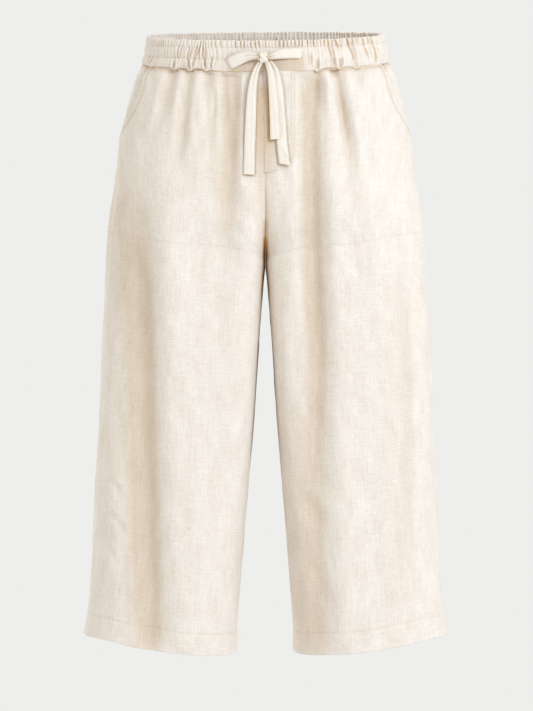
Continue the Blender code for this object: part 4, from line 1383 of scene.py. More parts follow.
def seam_relief(side, face, inner, level, seamed, from_inner, from_outer):
    """The dip along a panel's seams, their puckers, and the ridge of the inseam's allowance."""
    lapped = smoothstep(FLY_END - FLY_LAP_BLEND, FLY_END + FLY_LAP_BLEND, inner)[:, None] * (face == FRONT)
    relief = -SEAM_DIP * (1.0 - FLY_LAP_EASE * lapped) * np.exp(-(from_inner / SEAM_DIP_REACH) ** 2)
    relief = relief - SEAM_DIP * seamed[:, None] * np.exp(-(from_outer / SEAM_DIP_REACH) ** 2)
    drawn = SEAM_PUCKER * soft_noise(level, side * APART["seam_sides"], face * APART["seams"],
                                     SEAM_PUCKER_SIZE, SEEDS["seams"])
    relief = relief + drawn * np.exp(-(np.minimum(from_inner, from_outer) / SEAM_PUCKER_REACH) ** 2)
    ridge = INSEAM_RIDGE_HEIGHT * np.exp(-((from_inner - INSEAM_RIDGE) / SEAM_DIP_REACH) ** 2)
    return relief + ridge * smoothstep(CROTCH, CROTCH - INSEAM_FADE, level)


def turn_edges_in(side, face, points, rows, seamed):
    """A panel's points with its edges in the seams' planes, and a column more where each turns in."""
    inner, outer, tuck = rows
    above, under = LEG_BLEND
    leg = smoothstep(CROTCH + above, CROTCH + under, inner)
    below = inner <= CROTCH
    points[below, 0, 1] = face * SEAM_GAP / 2
    points[~below, 0, 0] = side * SEAM_GAP / 2
    points[seamed > 0.5, -1, 1] = face * SEAM_GAP / 2
    turned_in = points[:, 0].copy()
    turned_in[:, 0] += side * SEAM_TURN * leg
    rise_turn = np.minimum(SEAM_TURN, RISE_TURN_SHARE * np.abs(points[:, 0, 1]))
    turned_in[:, 1] -= face * rise_turn * (1.0 - leg)
    outer_turn = points[:, -1].copy()
    outer_turn[:, 0] -= side * SEAM_TURN * seamed
    mouth_turn = cloth(side, face, sagged_angle(outer), outer, -MOUTH_EDGE + tuck, folded=False)
    mouth_edge = cloth(side, face, sagged_angle(outer), outer, tuck, folded=False)
    outer_turn = np.where(seamed[:, None] > 0.5, outer_turn, points[:, -1] + mouth_turn - mouth_edge)
    return np.concatenate((turned_in[:, None], points, outer_turn[:, None]), axis=1)


def panel_flat(side, points, inner):
    """A panel's places on its flat cut, measured from its grain line."""
    grain = np.interp(inner, GRAIN_LEVELS[::-1], GRAIN_PLACES[::-1])
    across = np.array([run_along(row) for row in points])
    at_grain = np.array([np.interp(place, side * row[1:-1, 0], line[1:-1]) for place, row, line
                         in zip(grain, points, across)])
    flat = flat_places(points, -at_grain)
    flat[..., 0] *= side
    return flat


def make_panel(side, face, name, material):
    rows = panel_rows(face)
    inner, outer, _ = rows
    fine = np.linspace(0.0, 1.0, RUN_SAMPLES)
    runs = np.array([run_along(row) for row in panel_points(side, face, rows, fine, 0.0, folded=False)])
    share, from_inner, from_outer = column_places(runs, fine)
    seamed = np.ones(len(outer))
    if face == FRONT:
        seamed = smoothstep(MOUTH_END + SEAM_BLEND, MOUTH_END - SEAM_BLEND, outer)
    level = inner[:, None] + (outer - inner)[:, None] * share
    relief = seam_relief(side, face, inner, level, seamed, from_inner, from_outer)
    points = panel_points(side, face, rows, share, relief)
    # Shade painted into the panel's colour, with the turned-in columns like their neighbours
    painted_shade = panel_painted_shade(side, face, points, level, from_inner, from_outer, seamed[:, None])
    painted_shade = np.concatenate((painted_shade[:, :1], painted_shade, painted_shade[:, -1:]), axis=1)
    points = turn_edges_in(side, face, points, rows, seamed)
    flat = panel_flat(side, points, inner)
    mesh = sheet_mesh(name, points, flat, turned=side * face < 0, painted_shade=painted_shade)
    piece = add_piece(name, mesh, material)
    thicken(piece)
    soften(piece.data)
    return piece


# ---- waistband

def band_angles(face):
    """Fine samples of the angle round half of the waist, with the run at each."""
    fine = np.linspace(0.0, math.pi, 4 * RUN_SAMPLES)
    return fine, run_along(cloth(LEFT, face, fine, WAIST_SEAM, folded=False))


def band_bottom(x, face):
    """Level of the waistband's lower edge: it arches between the tucks."""
    level = WAIST_SEAM - BAND_LAP + BAND_ARCH * smoothstep(*BAND_ARCH_REACH, np.abs(x))
    for place, drop in BAND_SCALLOPS[face]:
        level = level - drop * np.exp(-((x - place) / SCALLOP_REACH) ** 2)
    return level


def band_top(run, face):
    total = band_angles(face)[1][-1]
    sag = BAND_TOP_SAG[face] * np.sin(math.pi * np.clip(run / total, 0.0, 1.0)) ** BAND_TOP_SAG_POWER
    wave = soft_noise(run, face * APART["band_top"], 0.0, BAND_TOP_WAVE_SIZE, SEEDS["band_top"])
    return WAIST_EDGE - BAND_TOP_DROP - sag + BAND_TOP_WAVE * wave


def gather_wave(run, level, face):
    """Depth of the gathers under their ridges, which are round, with sharp uneven valleys between."""
    total = band_angles(face)[1][-1]
    count = run / total * GATHERS
    wander = GATHER_WANDER * soft_noise(run, level / GATHER_WANDER_STRETCH, face * APART["wander"],
                                        GATHER_WANDER_SIZE, SEEDS["wander"])
    crowding = GATHER_CROWDING * soft_noise(run, 0.0, face * APART["crowding"], GATHER_CROWDING_SIZE,
                                            SEEDS["crowding"])
    count = count + wander + crowding
    valley = np.floor(count).astype(int) % GATHERS
    draw = np.random.default_rng(SEEDS["gathers"] + face)
    tiers = draw.uniform(*GATHER_DEPTHS, (len(GATHER_TIERS) + 1, GATHERS))
    place = np.interp(level, GATHER_TIERS, np.arange(len(GATHER_TIERS)))
    lower = np.floor(place).astype(int)
    upper = np.minimum(lower + 1, len(GATHER_TIERS))
    blend = smoothstep(*GATHER_TIER_BLEND, place - lower)
    depth = tiers[lower, valley] * (1.0 - blend) + tiers[upper, valley] * blend
    ridge = np.abs(np.cos(math.pi * count)) ** GATHER_ROUND
    return depth * (1.0 - ridge)


def tier_swell(level, bottom, top, long_tier):
    """Swell of the casing between its stitch rows."""
    def swell(number, low, high):
        share = np.clip((level - low) / (high - low), 0.0, 1.0)
        return TIER_SWELL[number] * np.sin(math.pi * share) ** TIER_POWER[number]
    two = np.where(level > MIDDLE_SEAM, swell(1, MIDDLE_SEAM, HEADER_SEAM), swell(0, bottom, MIDDLE_SEAM))
    below = two * (1.0 - long_tier) + swell(3, bottom, HEADER_SEAM) * long_tier
    return np.where(level > HEADER_SEAM, swell(2, HEADER_SEAM, top), below)


def band_relief(run, x, level, face):
    """Stand of the waistband's outer face, and the shade painted on each place: in its gathers and tucks,
    at its stitch rows and lower edge, and on the plain stretch behind the drawstring.
    """
    bottom, top = band_bottom(x, face), band_top(run, face)
    long_tier = short_tier = np.zeros(x.shape)
    gathered = np.ones(x.shape)
    if face == FRONT:
        long_tier = smoothstep(*LONG_TIER_STARTS, x)
        short_tier = smoothstep(*SHORT_TIER_STARTS, x)
        open_front = smoothstep(PLAIN_HALF, PLAIN_HALF + PLAIN_FADE, np.abs(x))
        gathered = np.where(level < HEADER_SEAM, np.maximum(open_front, PLAIN_GATHER), 1.0)
        gathered = np.maximum(gathered, smoothstep(HEADER_SEAM - HEADER_BLEND, HEADER_SEAM, level))
    size = np.interp(level, *np.array(GATHER_SIZES)[::-1].T)
    size = size * (1.0 - LONG_TIER_EASE * long_tier * (level < HEADER_SEAM))
    size = size * (1.0 - SHORT_TIER_EASE * short_tier)
    drop = size * gathered * gather_wave(run, level, face)
    tucks = TUCK_DEPTH * crease_height(x, level, BAND_TUCKS[face])
    shade = np.clip((drop - np.minimum(tucks, 0.0)) / GATHER_SHADE, 0.0, 1.0) ** GATHER_SHADE_POWER
    plain = PLAIN_SHADE * (1.0 - gathered) * smoothstep(HEADER_SEAM, MIDDLE_SEAM, level)
    rows = sum(np.exp(-((level - seam) / SEAM_ROW_REACH) ** 2) for seam in (HEADER_SEAM, MIDDLE_SEAM))
    between = (HEADER_SEAM + MIDDLE_SEAM) / 2
    rows = SEAM_ROW_SHADE * rows * np.where(level > between, 1.0, (1.0 - long_tier) * gathered)
    edge = BAND_EDGE_SHADE * np.exp(-((level - bottom) / BAND_EDGE_SHADE_REACH) ** 2)
    swell = tier_swell(level, bottom, top, long_tier)
    lift = BAND_STAND - BAND_PINCH + swell + RIDGE_STAND * size * gathered - drop + tucks
    return lift, GATHER_SHADE_STRENGTH * shade + plain + rows + edge


def band_points(face, run, level, sink=0.0):
    """Points on the waistband's outer face, or sunk below it."""
    fine, along = band_angles(face)
    run, level = np.broadcast_arrays(run, level)
    angle = np.interp(run, along, fine)
    x = cloth(LEFT, face, angle, level, folded=False)[..., 0]
    lift = band_relief(run, x, level, face)[0] - sink
    return cloth(LEFT, face, angle, level, lift, folded=False)


def make_waistband(face, name, material):
    """A casing: its outer face, rolled top, inner face and lower edge in one closed profile."""
    fine, along = band_angles(face)
    run = np.linspace(0.0, along[-1], GATHERS * BAND_COLUMNS + 1)
    x = cloth(LEFT, face, np.interp(run, along, fine), WAIST_SEAM, folded=False)[:, 0]
    bottom, top = band_bottom(x, face), band_top(run, face)
    cosine = (1.0 - np.cos(np.linspace(0.0, math.pi, BAND_TIER_ROWS + 1))) / 2
    steps = []
    for low, high in ((bottom, MIDDLE_SEAM), (MIDDLE_SEAM, HEADER_SEAM), (HEADER_SEAM, top)):
        steps += [low + (high - low) * share for share in cosine[:-1]]
    outer_levels = np.array([step + 0.0 * x for step in steps] + [top])
    outer = band_points(face, run, outer_levels)
    # Shade painted on the outer face: in its gathers, and the runs' shadows on the front
    painted_shade = band_relief(run + 0.0 * outer_levels, x + 0.0 * outer_levels, outer_levels, face)[1]
    if face == FRONT:
        painted_shade = np.maximum(painted_shade, tape_shade(outer[..., 0], outer[..., 2]))
    inner_levels = top + (bottom - top) * np.linspace(0.0, 1.0, BAND_INNER_ROWS)[:, None]
    depth = np.interp(inner_levels, (HEADER_SEAM, WAIST_EDGE), (BAND_THICKNESS, HEADER_THICKNESS))
    angle = np.interp(run, along, fine) + 0.0 * inner_levels
    inner_x = cloth(LEFT, face, angle, inner_levels, folded=False)[..., 0]
    stand, inner_painted_shade = band_relief(run + 0.0 * inner_levels, inner_x, inner_levels, face)
    relief = BAND_STAND + INNER_GATHER * (stand - BAND_STAND)
    # Painted shade on the inner face: behind the outer face's ridges, and more towards its lower edge
    deep = INNER_SHADE * smoothstep(WAIST_EDGE, MIDDLE_SEAM, inner_levels)
    inner_painted_shade = np.maximum(1.0 - inner_painted_shade, 0.0) ** 2 * INNER_SHADE + deep
    inner = cloth(LEFT, face, angle, inner_levels, relief - depth, folded=False)
    roll, lower = [], []
    for share in BAND_ROLL_SHARES:
        arch = (0.0, 0.0, BAND_ROLL * math.sin(math.pi * share))
        roll.append(outer[-1] * (1.0 - share) + inner[0] * share + arch)
        lower.append(inner[-1] * (1.0 - share) + outer[0] * share - arch)
    points = np.concatenate((outer, roll, inner, lower))
    # The rolled top gets no painted shade, and the lower roll, which faces down, the darkest
    hem = np.zeros((len(roll), len(run)))
    painted_shade = np.concatenate((painted_shade, hem, inner_painted_shade, hem + 1.0))
    points[:, (0, -1), 1] = face * SEAM_GAP / 2
    closed = np.concatenate((points, points[:1]))
    down = run_along(closed[:, len(run) // 2])
    flat = np.stack(np.broadcast_arrays(run * GATHER_FULLNESS, down[:, None]), axis=-1)
    mesh = sheet_mesh(name, points, flat, turned=face == FRONT, closed_rows=True, painted_shade=painted_shade)
    piece = add_piece(name, mesh, material)
    cap_ends(piece)
    return piece


# ---- facings, fly, hems

def make_facing(side, name, material):
    """A pocket facing: it fills the cut-away corner and runs on under the mouth."""
    level = np.concatenate((WAIST_SEAM + np.array(UNDER_BAND)[:, 0],
                            np.linspace(WAIST_SEAM - SEAM_GAP, MOUTH_END, FACING_ROWS)))[:, None]
    tuck = np.concatenate((np.array(UNDER_BAND)[:, 1], np.zeros(FACING_ROWS)))[:, None]
    mouth = mouth_angle(level)
    angle = (mouth + FACING_UNDERLAP) * np.linspace(0.0, 1.0, FACING_COLUMNS)
    near = smoothstep(0.0, 1.0, angle / np.maximum(mouth, FACING_LEAST_ANGLE))
    tucked = smoothstep(FACING_TUCK_STARTS, 1.0, mouth_share(level))
    recess = FACING_RECESS * np.maximum(near, tucked)
    opened = mouth_opening(level)
    from_edge = angle - sagged_angle(level) + FACING_HOLLOW_SHIFT
    behind = opened * np.exp(-(from_edge / FACING_HOLLOW_ANGLE) ** 2)
    recess = recess + FACING_HOLLOW * behind
    plain = cloth(side, FRONT, angle, level, folded=False)
    rise = tuck - recess + FACING_CRUMPLE * crumple(plain[..., 0], plain[..., 1], level)
    rise = rise + FACING_CRUMPLE * waist_puckers(plain[..., 0], level, FRONT)
    run = np.array([run_along(row) for row in plain])
    rise = rise - SEAM_DIP * np.exp(-(run / SEAM_DIP_REACH) ** 2)
    points = cloth(side, FRONT, angle, level, rise, folded=False)
    points[:, 0, 1] = -SEAM_GAP / 2
    turned_in = points[:, 0] - (side * SEAM_TURN, 0.0, 0.0)
    points = np.concatenate((turned_in[:, None], points), axis=1)
    # Painted shade in the pocket's gap, just short of the mouth's edge, and under the waistband
    short_of_edge = np.maximum(sagged_angle(level) - FACING_SHADE_SHIFT - angle, 0.0)
    dark = FACING_SHADE * opened ** FACING_SHADE_POWER
    dark = dark * np.exp(-(short_of_edge / FACING_SHADE_ANGLE) ** 2)
    dark = dark + FACING_TOP_SHADE * np.exp(-np.maximum(WAIST_SEAM - level, 0.0) / TOP_SHADE_REACH)
    painted_shade = np.concatenate((dark[:, :1], dark), axis=1)
    mesh = sheet_mesh(name, points, flat_places(points), turned=side == RIGHT, painted_shade=painted_shade)
    piece = add_piece(name, mesh, material)
    thicken(piece)
    soften(piece.data)
    return piece


def fly_width(level):
    """Width of the mock fly at a level: straight, then rounded into a J."""
    share = np.clip((FLY_CURVE - level) / (FLY_CURVE - FLY_END), 0.0, 1.0)
    return FLY_WIDTH * np.sqrt(1.0 - share ** 2)


def front_points(side, x, level, lift):
    """Points over a front at unsigned x."""
    return cloth(side, FRONT, angle_at(x, level, FRONT), level, lift)


def fly_lift(share):
    """Stand of the fly over the front, at shares of its width from the centre."""
    return FLY_STAND + FLY_SWELL * (1.0 - smoothstep(FLY_SWELL_EASES, 1.0, share))


def make_fly(name, material):
    """The mock fly: a folded strip on the left front, stitched down along its J."""
    turn = np.linspace(0.0, FLY_ROUND_END * math.pi / 2, FLY_ROUND_ROWS)
    round_rows = FLY_CURVE + (FLY_END - FLY_CURVE) * np.sin(turn)
    straight_rows = np.linspace(WAIST_SEAM - SEAM_GAP, FLY_CURVE, FLY_STRAIGHT_ROWS)[:-1]
    level = np.concatenate((WAIST_SEAM + np.array(UNDER_BAND)[:, 0], straight_rows, round_rows))[:, None]
    share = np.linspace(0.0, 1.0, FLY_COLUMNS)
    across = -FLY_LAP + (fly_width(level) + FLY_LAP) * share
    least, reach = FLY_EDGE_RISES
    above, under = FLY_UNDER_BAND
    lift = fly_lift(share) * smoothstep(0.0, reach, share + least)
    lift = lift * smoothstep(WAIST_SEAM + above, WAIST_SEAM + under, level)
    lift = lift + waist_puckers(across, level, FRONT)
    points = np.where(across[..., None] < 0.0, front_points(RIGHT, np.abs(across), level, lift),
                      front_points(LEFT, np.abs(across), level, lift))
    # Painted shade along the topstitching, between the tapes and in their shadows
    edge = np.abs(fly_width(level) - across)
    painted_shade = sum(FLY_ROW_SHADE * np.exp(-((edge - inset) / FLY_ROW_REACH) ** 2) for inset in FLY_TOPSTITCH)
    painted_shade = painted_shade + centre_shade(points[..., 0], level) + tape_shade(points[..., 0], points[..., 2])
    mesh = sheet_mesh(name, points, flat_places(points), turned=True, painted_shade=painted_shade)
    piece = add_piece(name, mesh, material)
    thicken(piece, FLY_SHELL)
    soften(piece.data)
    return piece


def make_turnup(side, name, material):
    """The hem allowance, up inside the leg to the line of stitches."""
    levels = np.linspace(HEM_EDGE + HEM_ROUND[-1][0] + SEAM_GAP, HEM_STITCH + TURNUP_OVER, TURNUP_ROWS)
    lift = HEM_ROUND[-1][1] + SHELL
    halves = []
    for face in (FRONT, BACK):
        fine = np.linspace(math.pi, 0.0, RUN_SAMPLES)
        rows = []
        for level in levels:
            plain = cloth(side, face, fine, level, lift, folded=False)
            run = run_along(plain)
            angle = np.interp(np.linspace(0.0, run[-1], TURNUP_COLUMNS + 1), run, fine)
            x = cloth(side, face, angle, level, folded=False)[:, 0]
            rows.append(cloth(side, face, angle, level, lift + hem_relief(x, level, face)))
        halves.append(np.array(rows))
    front, back = halves
    front[:, -1, 1] = 0.0
    front[:, 0, 1] = -SEAM_GAP / 2
    back[:, 0, 1] = SEAM_GAP / 2
    points = np.concatenate((front, back[:, -2::-1]), axis=1)
    mesh = sheet_mesh(name, points, flat_places(points), turned=side == LEFT)
    piece = add_piece(name, mesh, material)
    thicken(piece)
    soften(piece.data)
    return piece


# ---- drawstring

def tape_rings(route, across_way):
    """Centres, across and outward directions, and widths along a tape's route."""
    route = np.array(route)
    marks = run_along(route[:, :3])
    at = np.linspace(0.0, marks[-1], round(marks[-1] / TAPE_RING_PITCH) + 1)
    smooth = through(marks, route, at)
    centre, width = smooth[:, :3], smooth[:, 3] * TAPE_EASE
    along = np.gradient(centre, axis=0)
    along /= np.linalg.norm(along, axis=1)[:, None]
    if across_way == "upright":
        across = np.stack([smooth[:, 4], np.zeros(len(at)), np.ones(len(at))], axis=1)
    else:
        across = np.tile((1.0, 0.0, 0.0), (len(at), 1))
    outward = np.cross(along, across)
    outward /= np.linalg.norm(outward, axis=1)[:, None]
    outward *= -np.sign(outward[:, 1:2])
    return at, centre, along, across, outward, width


def make_tape(name, route, across_way, material, pleats=(), slant=0.0, seed=0, turned_end=False):
    """A flat tape of linen along its route, with hemmed edges, pleats by the knot and a cut end."""
    at, centre, along, across, outward, width = tape_rings(route, across_way)
    down = at[:, None]
    turn = np.linspace(0.0, 2 * math.pi, TAPE_SIDES, endpoint=False)
    edge, face = np.cos(turn), np.sin(turn)
    edge = np.sign(edge) * np.abs(edge) ** TAPE_EDGE_POWER
    half_depth = TAPE / 2 * np.sign(face) * np.abs(face) ** TAPE_FACE_POWER
    form = -TAPE_CUP * edge ** 2 * np.ones(down.shape)
    form = form - TAPE_SEAM_DEPTH * np.exp(-((np.abs(edge) - TAPE_SEAM_AT) / TAPE_SEAM_REACH) ** 2)
    for place, reach, height, fade in pleats:
        form = form + height * np.exp(-((edge - place) / reach) ** 2) * np.exp(-(down / fade) ** 2)
    form = form + TAPE_CRUMPLE * soft_noise(down, edge * TAPE_CRUMPLE_WIDTH, seed * APART["tapes"],
                                            TAPE_CRUMPLE_SIZE, SEEDS["tape"] + seed)
    if turned_end:
        height, lean, reach, depth = TURNED_END
        from_fold = at[-1] - down - height + lean * edge
        form = form - depth * np.exp(-(from_fold / reach) ** 2)
    slanted = slant * edge * smoothstep(at[-1] - TAPE_SLANT_REACH, at[-1], down)
    points = (centre[:, None] + across[:, None] * (width[:, None] / 2 * edge)[..., None]
              + outward[:, None] * (half_depth + form)[..., None] + along[:, None] * slanted[..., None])
    round_it = np.linspace(0.0, 2 * width.max(), TAPE_SIDES + 1)
    flat = np.stack(np.broadcast_arrays(round_it, down), axis=-1)
    # Painted shade on the tape; the runs get more towards their outer ends, where they go into the
    # waistband
    painted_shade = tape_painted_shade(edge, down, form, seed) + np.zeros(form.shape)
    if across_way == "upright":
        starts, full = RUN_END_STARTS
        painted_shade = painted_shade + RUN_END_SHADE * smoothstep(at[-1] - starts, at[-1] - full, down)
    mesh = sheet_mesh(name, points, flat, closed_columns=True, painted_shade=painted_shade)
    piece = add_piece(name, mesh, material)
    cap_ends(piece)
    face_outwards(piece)
    return piece, centre


def tape_painted_shade(edge, down, form, seed):
    """Shade painted on each point of a tape: in its pleats, by the knot, in its lines and at its edges."""
    creased = TAPE_CREASE_SHADE * np.clip(-(form + TAPE_CUP) / TAPE_SHADE_DEPTH, 0.0, 1.0)
    near_knot = TAPE_KNOT_SHADE * np.exp(-(down / TAPE_KNOT_REACH) ** 2)
    lines = sum(np.exp(-((edge - line) / TAPE_LINE_REACH) ** 2) for line in TAPE_LINES)
    uneven = soft_noise(down, edge, seed * APART["tape_lines"], TAPE_LINE_SIZE, SEEDS["tape_lines"] + seed)
    lines = lines * TAPE_LINE_SHADE * (1.0 + uneven)
    return creased + near_knot + lines + TAPE_EDGE_SHADE * smoothstep(*TAPE_SIDE_STARTS, np.abs(edge))


def face_outwards(piece):
    form = bmesh.new()
    form.from_mesh(piece.data)
    bmesh.ops.recalc_face_normals(form, faces=form.faces)
    form.to_mesh(piece.data)
    form.free()


def make_knot(name, material):
    """The knot: a wrap of tape drawn tight over the two runs, its folds pressed in."""
    turn = np.linspace(0.0, 2 * math.pi, KNOT_SIDES, endpoint=False)
    rise = np.linspace(-math.pi / 2, math.pi / 2, KNOT_RINGS)[1:-1, None]
    x = np.cos(rise) * np.sin(turn)
    y = -np.cos(rise) * np.cos(turn)
    z = np.sin(rise) + 0.0 * turn
    unit = np.stack([x, y, z], axis=-1)
    square = (np.abs(unit) ** KNOT_POWER).sum(axis=-1) ** (-1 / KNOT_POWER)
    leaned = x * KNOT_HALF[0] + KNOT_LEAN * z * KNOT_HALF[2]
    wrap = smoothstep(*KNOT_WRAP, np.abs(leaned))
    groove = np.exp(-((np.abs(leaned) - KNOT_GROOVE_AT) / KNOT_GROOVE_REACH) ** 2)
    twist, sway, rate, begin = KNOT_FOLD_TWIST
    wave = np.cos(leaned / KNOT_FOLD_PITCH + twist * z + sway * np.sin(rate * z + begin))
    folds = wave * np.exp(-(leaned / KNOT_FOLD_REACH) ** 2)
    lift = KNOT_WRAP_LIFT * wrap - KNOT_GROOVE * groove + KNOT_FOLD * folds
    lumps = soft_noise(*(KNOT_LUMP_RADIUS * value for value in (x, y, z)), KNOT_LUMP_SIZE, SEEDS["knot"])
    beside = (leaned - KNOT_DENT_AT[0]) / KNOT_DENT_REACH[0]
    above = (z - KNOT_DENT_AT[1]) / KNOT_DENT_REACH[1]
    lift = lift + KNOT_LUMP * lumps - KNOT_DENT * np.exp(-above ** 2) * np.exp(-beside ** 2)
    scale = square[..., None] * np.array(KNOT_HALF) * KNOT_FULLNESS
    points = unit * (scale + lift[..., None]) + np.array(KNOT_CENTRE)
    round_it, down = np.linspace(0.0, KNOT_CUT[0], KNOT_SIDES + 1), KNOT_CUT[1] * rise
    flat = np.stack(np.broadcast_arrays(round_it, down), axis=-1)
    # Shade painted over the whole knot, more in its grooves and dents and less on its raised wraps
    painted_shade = KNOT_SHADE - KNOT_RELIEF_SHADE * lift / KNOT_RELIEF
    mesh = sheet_mesh(name, points, flat, closed_columns=True, painted_shade=painted_shade)
    piece = add_piece(name, mesh, material)
    cap_ends(piece)
    face_outwards(piece)
    return piece


def make_drawstring(material):
    """The knot, its two runs and three hanging tails, as tapes of linen."""
    knot = make_knot("knot_wrap", material)
    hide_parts("drawstring_knot")
    for number, (node, route) in enumerate(RUNS.items()):
        x, y, z, width, lean = route[0]
        inside = (x + math.copysign(RUN_TUCK[0], x), y + RUN_TUCK[1], z, width, lean)
        x, y, z, width, lean = route[-1]
        sideways, inwards = RUN_IN_KNOT
        in_knot = (x - math.copysign(sideways, x), y + inwards, z, RUN_IN_KNOT_WIDTH * width, lean)
        whole_route = (in_knot,) + route[::-1] + (inside,)
        run, _ = make_tape(node + "_tape", whole_route, "upright", material, RUN_PLEATS, seed=number)
        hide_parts(node)
    for number, (node, route) in enumerate(TAILS.items(), 3):
        tail, centre = make_tape(node + "_tape", route, "level", material, TAIL_PLEATS[node],
                                 TAIL_SLANTS[node], number, turned_end=node == "drawstring_tail_left")
        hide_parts(node)


# ---- stitches

def stitch_form():
    """One stitch of spun thread, modelled once: a ball drawn out along z."""
    bpy.ops.object.select_all(action="DESELECT")
    sides, rings = STITCH_FORM
    bpy.ops.mesh.primitive_uv_sphere_add(segments=sides, ring_count=rings, radius=THREAD / 2,
                                         location=(0, 0, 0))
    ball = bpy.context.object
    bpy.ops.object.mode_set(mode="EDIT")
    form = bmesh.from_edit_mesh(ball.data)
    for way in (1, -1):
        for vertex in form.verts:
            vertex.select_set(way * vertex.co.z > THREAD / 8)
        form.select_flush(True)
        bmesh.update_edit_mesh(ball.data)
        bpy.ops.transform.translate(value=(0.0, 0.0, way * (STITCH / 2 - THREAD / 2)))
    bpy.ops.object.mode_set(mode="OBJECT")
    places = np.array([vertex.co[:] for vertex in ball.data.vertices])
    faces = [tuple(face.vertices) for face in ball.data.polygons]
    bpy.data.objects.remove(ball, do_unlink=True)
    return places, faces


def stitches_along(points, outward):
    """Places, directions and outward directions of stitches along a line of points."""
    run = run_along(points)
    count = max(1, int(run[-1] / STITCH_PITCH))
    middles = (np.arange(count) + 0.5) * run[-1] / count

    def at(where, values):
        return np.stack([np.interp(where, run, values[:, axis]) for axis in range(3)], axis=1)

    ahead, behind = at(middles + STITCH / 2, points), at(middles - STITCH / 2, points)
    middle = (ahead + behind + 2 * at(middles, points)) / 4
    return middle, ahead - behind, at(middles, outward)


def make_stitches(name, lines, form, material):
    """Rows of stitches as one joined mesh."""
    template, template_faces = form
    points, faces = [], []
    for middle, ahead, outward in lines:
        ahead = ahead / np.linalg.norm(ahead, axis=1)[:, None]
        side = np.cross(outward, ahead)
        side /= np.linalg.norm(side, axis=1)[:, None]
        outward = np.cross(ahead, side)
        placed = (middle[:, None] + template[:, 0, None] * side[:, None]
                  + template[:, 1, None] * outward[:, None] + template[:, 2, None] * ahead[:, None])
        for one in placed:
            first = len(points) * len(template)
            faces += [tuple(first + corner for corner in face) for face in template_faces]
            points.append(one)
    mesh = bpy.data.meshes.new(name)
    mesh.from_pydata(np.concatenate(points).tolist(), [], faces)
    mesh.shade_smooth()
    return add_piece(name, mesh, material)


def surface_row(side, face, angle, level, lift):
    """A row of stitches over the cloth, raised a little on its lift."""
    lift = lift + THREAD * STITCH_RAISE
    points = cloth(side, face, angle, level, lift)
    return stitches_along(points, cloth(side, face, angle, level, lift + OUTWARD_STEP) - points)


def hem_stitches(side):
    rows = []
    for face in (FRONT, BACK):
        angle = np.linspace(math.pi - HEM_ROW_END, HEM_ROW_END, RUN_SAMPLES)
        x = cloth(side, face, angle, HEM_STITCH, folded=False)[:, 0]
        rows.append(surface_row(side, face, angle, HEM_STITCH, hem_relief(x, HEM_STITCH, face)))
    return rows


def mouth_stitches(side):
    rows = []
    level = np.linspace(WAIST_SEAM - MOUTH_ROW_ENDS[0], MOUTH_END - MOUTH_ROW_ENDS[1], MOUTH_ROW_SAMPLES)
    for inset in MOUTH_TOPSTITCH:
        beyond = inset / section_value(level, "outer") * MOUTH_TURN
        rows.append(surface_row(side, FRONT, sagged_angle(level) + beyond, level, gape(beyond, level)))
    return rows


def fly_stitches():
    """The double topstitch down the fly and round its J."""
    rows = []
    turn = np.linspace(0.0, FLY_ROW_TURN * math.pi / 2, FLY_ROW_SAMPLES[1])
    straight = np.linspace(WAIST_SEAM - ROW_END, FLY_CURVE, FLY_ROW_SAMPLES[0])[:-1]
    for inset in FLY_TOPSTITCH:
        depth = FLY_CURVE - FLY_END - inset
        level = np.concatenate((straight, FLY_CURVE - depth * np.sin(turn)))
        x = (FLY_WIDTH - inset) * np.concatenate((np.ones(len(straight)), np.cos(turn)))
        share = x / np.maximum(fly_width(level), SEAM_GAP / 2)
        rows.append(surface_row(LEFT, FRONT, angle_at(x, level, FRONT), level, fly_lift(share)))
    return rows


def band_stitches(face):
    """Rows at the header and the lower edge, and at the middle behind and on the right front."""
    rows = []
    total = band_angles(face)[1][-1]
    run = np.linspace(ROW_END, total - ROW_END, BAND_ROW_SAMPLES)
    whole = np.ones(run.shape, bool)
    header, middle = (np.full(run.shape, seam) for seam in (HEADER_SEAM, MIDDLE_SEAM))
    x = band_points(face, run, middle)[:, 0]
    below = x < -PLAIN_HALF if face == FRONT else whole
    smooth = np.ones(STITCH_BRIDGE) / STITCH_BRIDGE
    for level, kept in ((header, whole), (band_bottom(x, face) + BAND_EDGE_STITCH, whole), (middle, below)):
        points = band_points(face, run, level, -THREAD * STITCH_RAISE)[kept]
        outward = band_points(face, run, level, -OUTWARD_STEP)[kept] - points
        padded = np.pad(points, ((STITCH_BRIDGE // 2,) * 2, (0, 0)), mode="edge")
        bridged = np.stack([np.convolve(line, smooth, mode="valid") for line in padded.T], axis=1)
        rows.append(stitches_along((points + bridged) / 2, outward))
    return rows


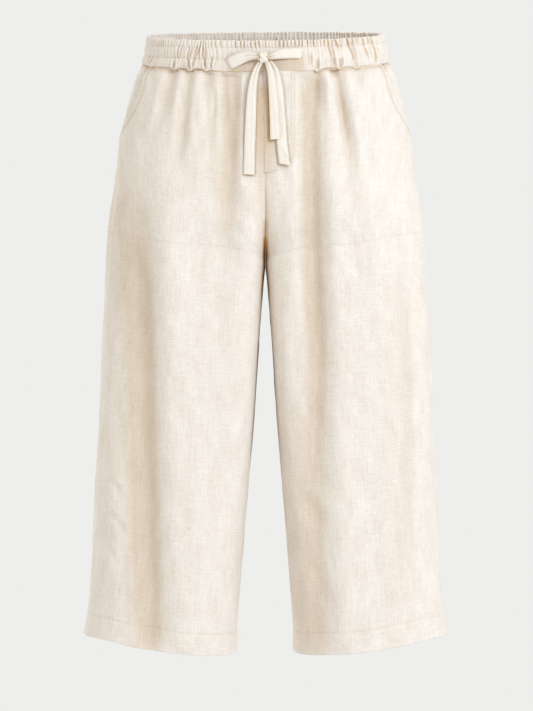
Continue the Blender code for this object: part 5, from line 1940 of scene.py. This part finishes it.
def make_buttonhole(name, place, way, material):
    """A worked buttonhole: a raised oval of satin stitch round its slot."""
    bpy.ops.object.select_all(action="DESELECT")
    around, across = BUTTONHOLE_FORM
    bpy.ops.mesh.primitive_torus_add(major_segments=around, minor_segments=across, location=(0, 0, 0),
                                     major_radius=BUTTONHOLE_WIDTH / 2, minor_radius=BUTTONHOLE_RAISE)
    oval = bpy.context.object
    bpy.ops.object.mode_set(mode="EDIT")
    form = bmesh.from_edit_mesh(oval.data)
    for end in (1, -1):
        for vertex in form.verts:
            vertex.select_set(end * vertex.co.y > BUTTONHOLE_RAISE / 100)
        form.select_flush(True)
        bmesh.update_edit_mesh(oval.data)
        bpy.ops.transform.translate(value=(0.0, end * (BUTTONHOLE_HEIGHT - BUTTONHOLE_WIDTH) / 2, 0.0))
    bpy.ops.object.mode_set(mode="OBJECT")
    ring = np.array([vertex.co[:] for vertex in oval.data.vertices])
    faces = [tuple(face.vertices) for face in oval.data.polygons]
    bpy.data.objects.remove(oval, do_unlink=True)
    outward = np.array(way) / np.linalg.norm(way)
    upward = np.array((0.0, 0.0, 1.0))
    sideways = np.cross(upward, outward)
    placed = np.array(place) + ring[:, :1] * sideways + ring[:, 1:2] * upward
    placed = placed + ring[:, 2:] * outward * BUTTONHOLE_FLATNESS
    mesh = bpy.data.meshes.new(name)
    mesh.from_pydata(placed.tolist(), [], faces)
    mesh.shade_smooth()
    hole = add_piece(name, mesh, material)
    face_outwards(hole)
    return hole


def make_sewing(material):
    form = stitch_form()
    for side, word in ((LEFT, "left"), (RIGHT, "right")):
        make_stitches("hem_stitches_" + word, hem_stitches(side), form, material)
        make_stitches("pocket_stitches_" + word, mouth_stitches(side), form, material)
    make_stitches("fly_stitches", fly_stitches(), form, material)
    make_stitches("waistband_stitches_front", band_stitches(FRONT), form, material)
    make_stitches("waistband_stitches_back", band_stitches(BACK), form, material)
    for word, x, height in BUTTONHOLES:
        run = np.interp(-x, *band_line(FRONT))
        level = height - WAIST_SLOPE * FRONT * BUTTONHOLE_AWAY - WAIST_ROLL * x
        place = band_points(FRONT, np.array([run]), np.array([level]))[0]
        way = band_points(FRONT, np.array([run]), np.array([level]), -OUTWARD_STEP)[0] - place
        make_buttonhole("buttonhole_" + word, place, way, material)


def band_line(face):
    """Minus x and the run along the waistband, for reading one from the other."""
    fine, along = band_angles(face)
    return -cloth(LEFT, face, fine, WAIST_SEAM, folded=False)[:, 0], along


# ---- the whole garment

def main():
    set_camera()
    tape_cloth = linen_material("tape_linen", COLOURS["tape_dark"], COLOURS["tape"], COLOURS["tape_light"],
                                *TAPE_LOOK)
    make_drawstring(tape_cloth)
    cloth_look = linen_material("washed_linen", COLOURS["linen_dark"], COLOURS["linen"],
                                COLOURS["linen_light"], THREAD_PITCH, CRINKLE)
    thread = thread_material()
    for (face, side), word in PANELS.items():
        panel = make_panel(side, face, word + "_cloth", cloth_look)
        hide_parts(word)
    for face, word in ((FRONT, "front"), (BACK, "back")):
        band = make_waistband(face, "waistband_" + word + "_casing", cloth_look)
        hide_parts("waistband_" + word)
    for side, word in ((LEFT, "left"), (RIGHT, "right")):
        facing = make_facing(side, "pocket_facing_" + word + "_cloth", cloth_look)
        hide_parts("pocket_facing_" + word)
        turnup = make_turnup(side, "hem_turnup_" + word + "_cloth", cloth_look)
        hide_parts("hem_turnup_" + word)
    fly = make_fly("fly_strip", cloth_look)
    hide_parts("fly")
    make_sewing(thread)
    set_studio()
    make_floor()


main()
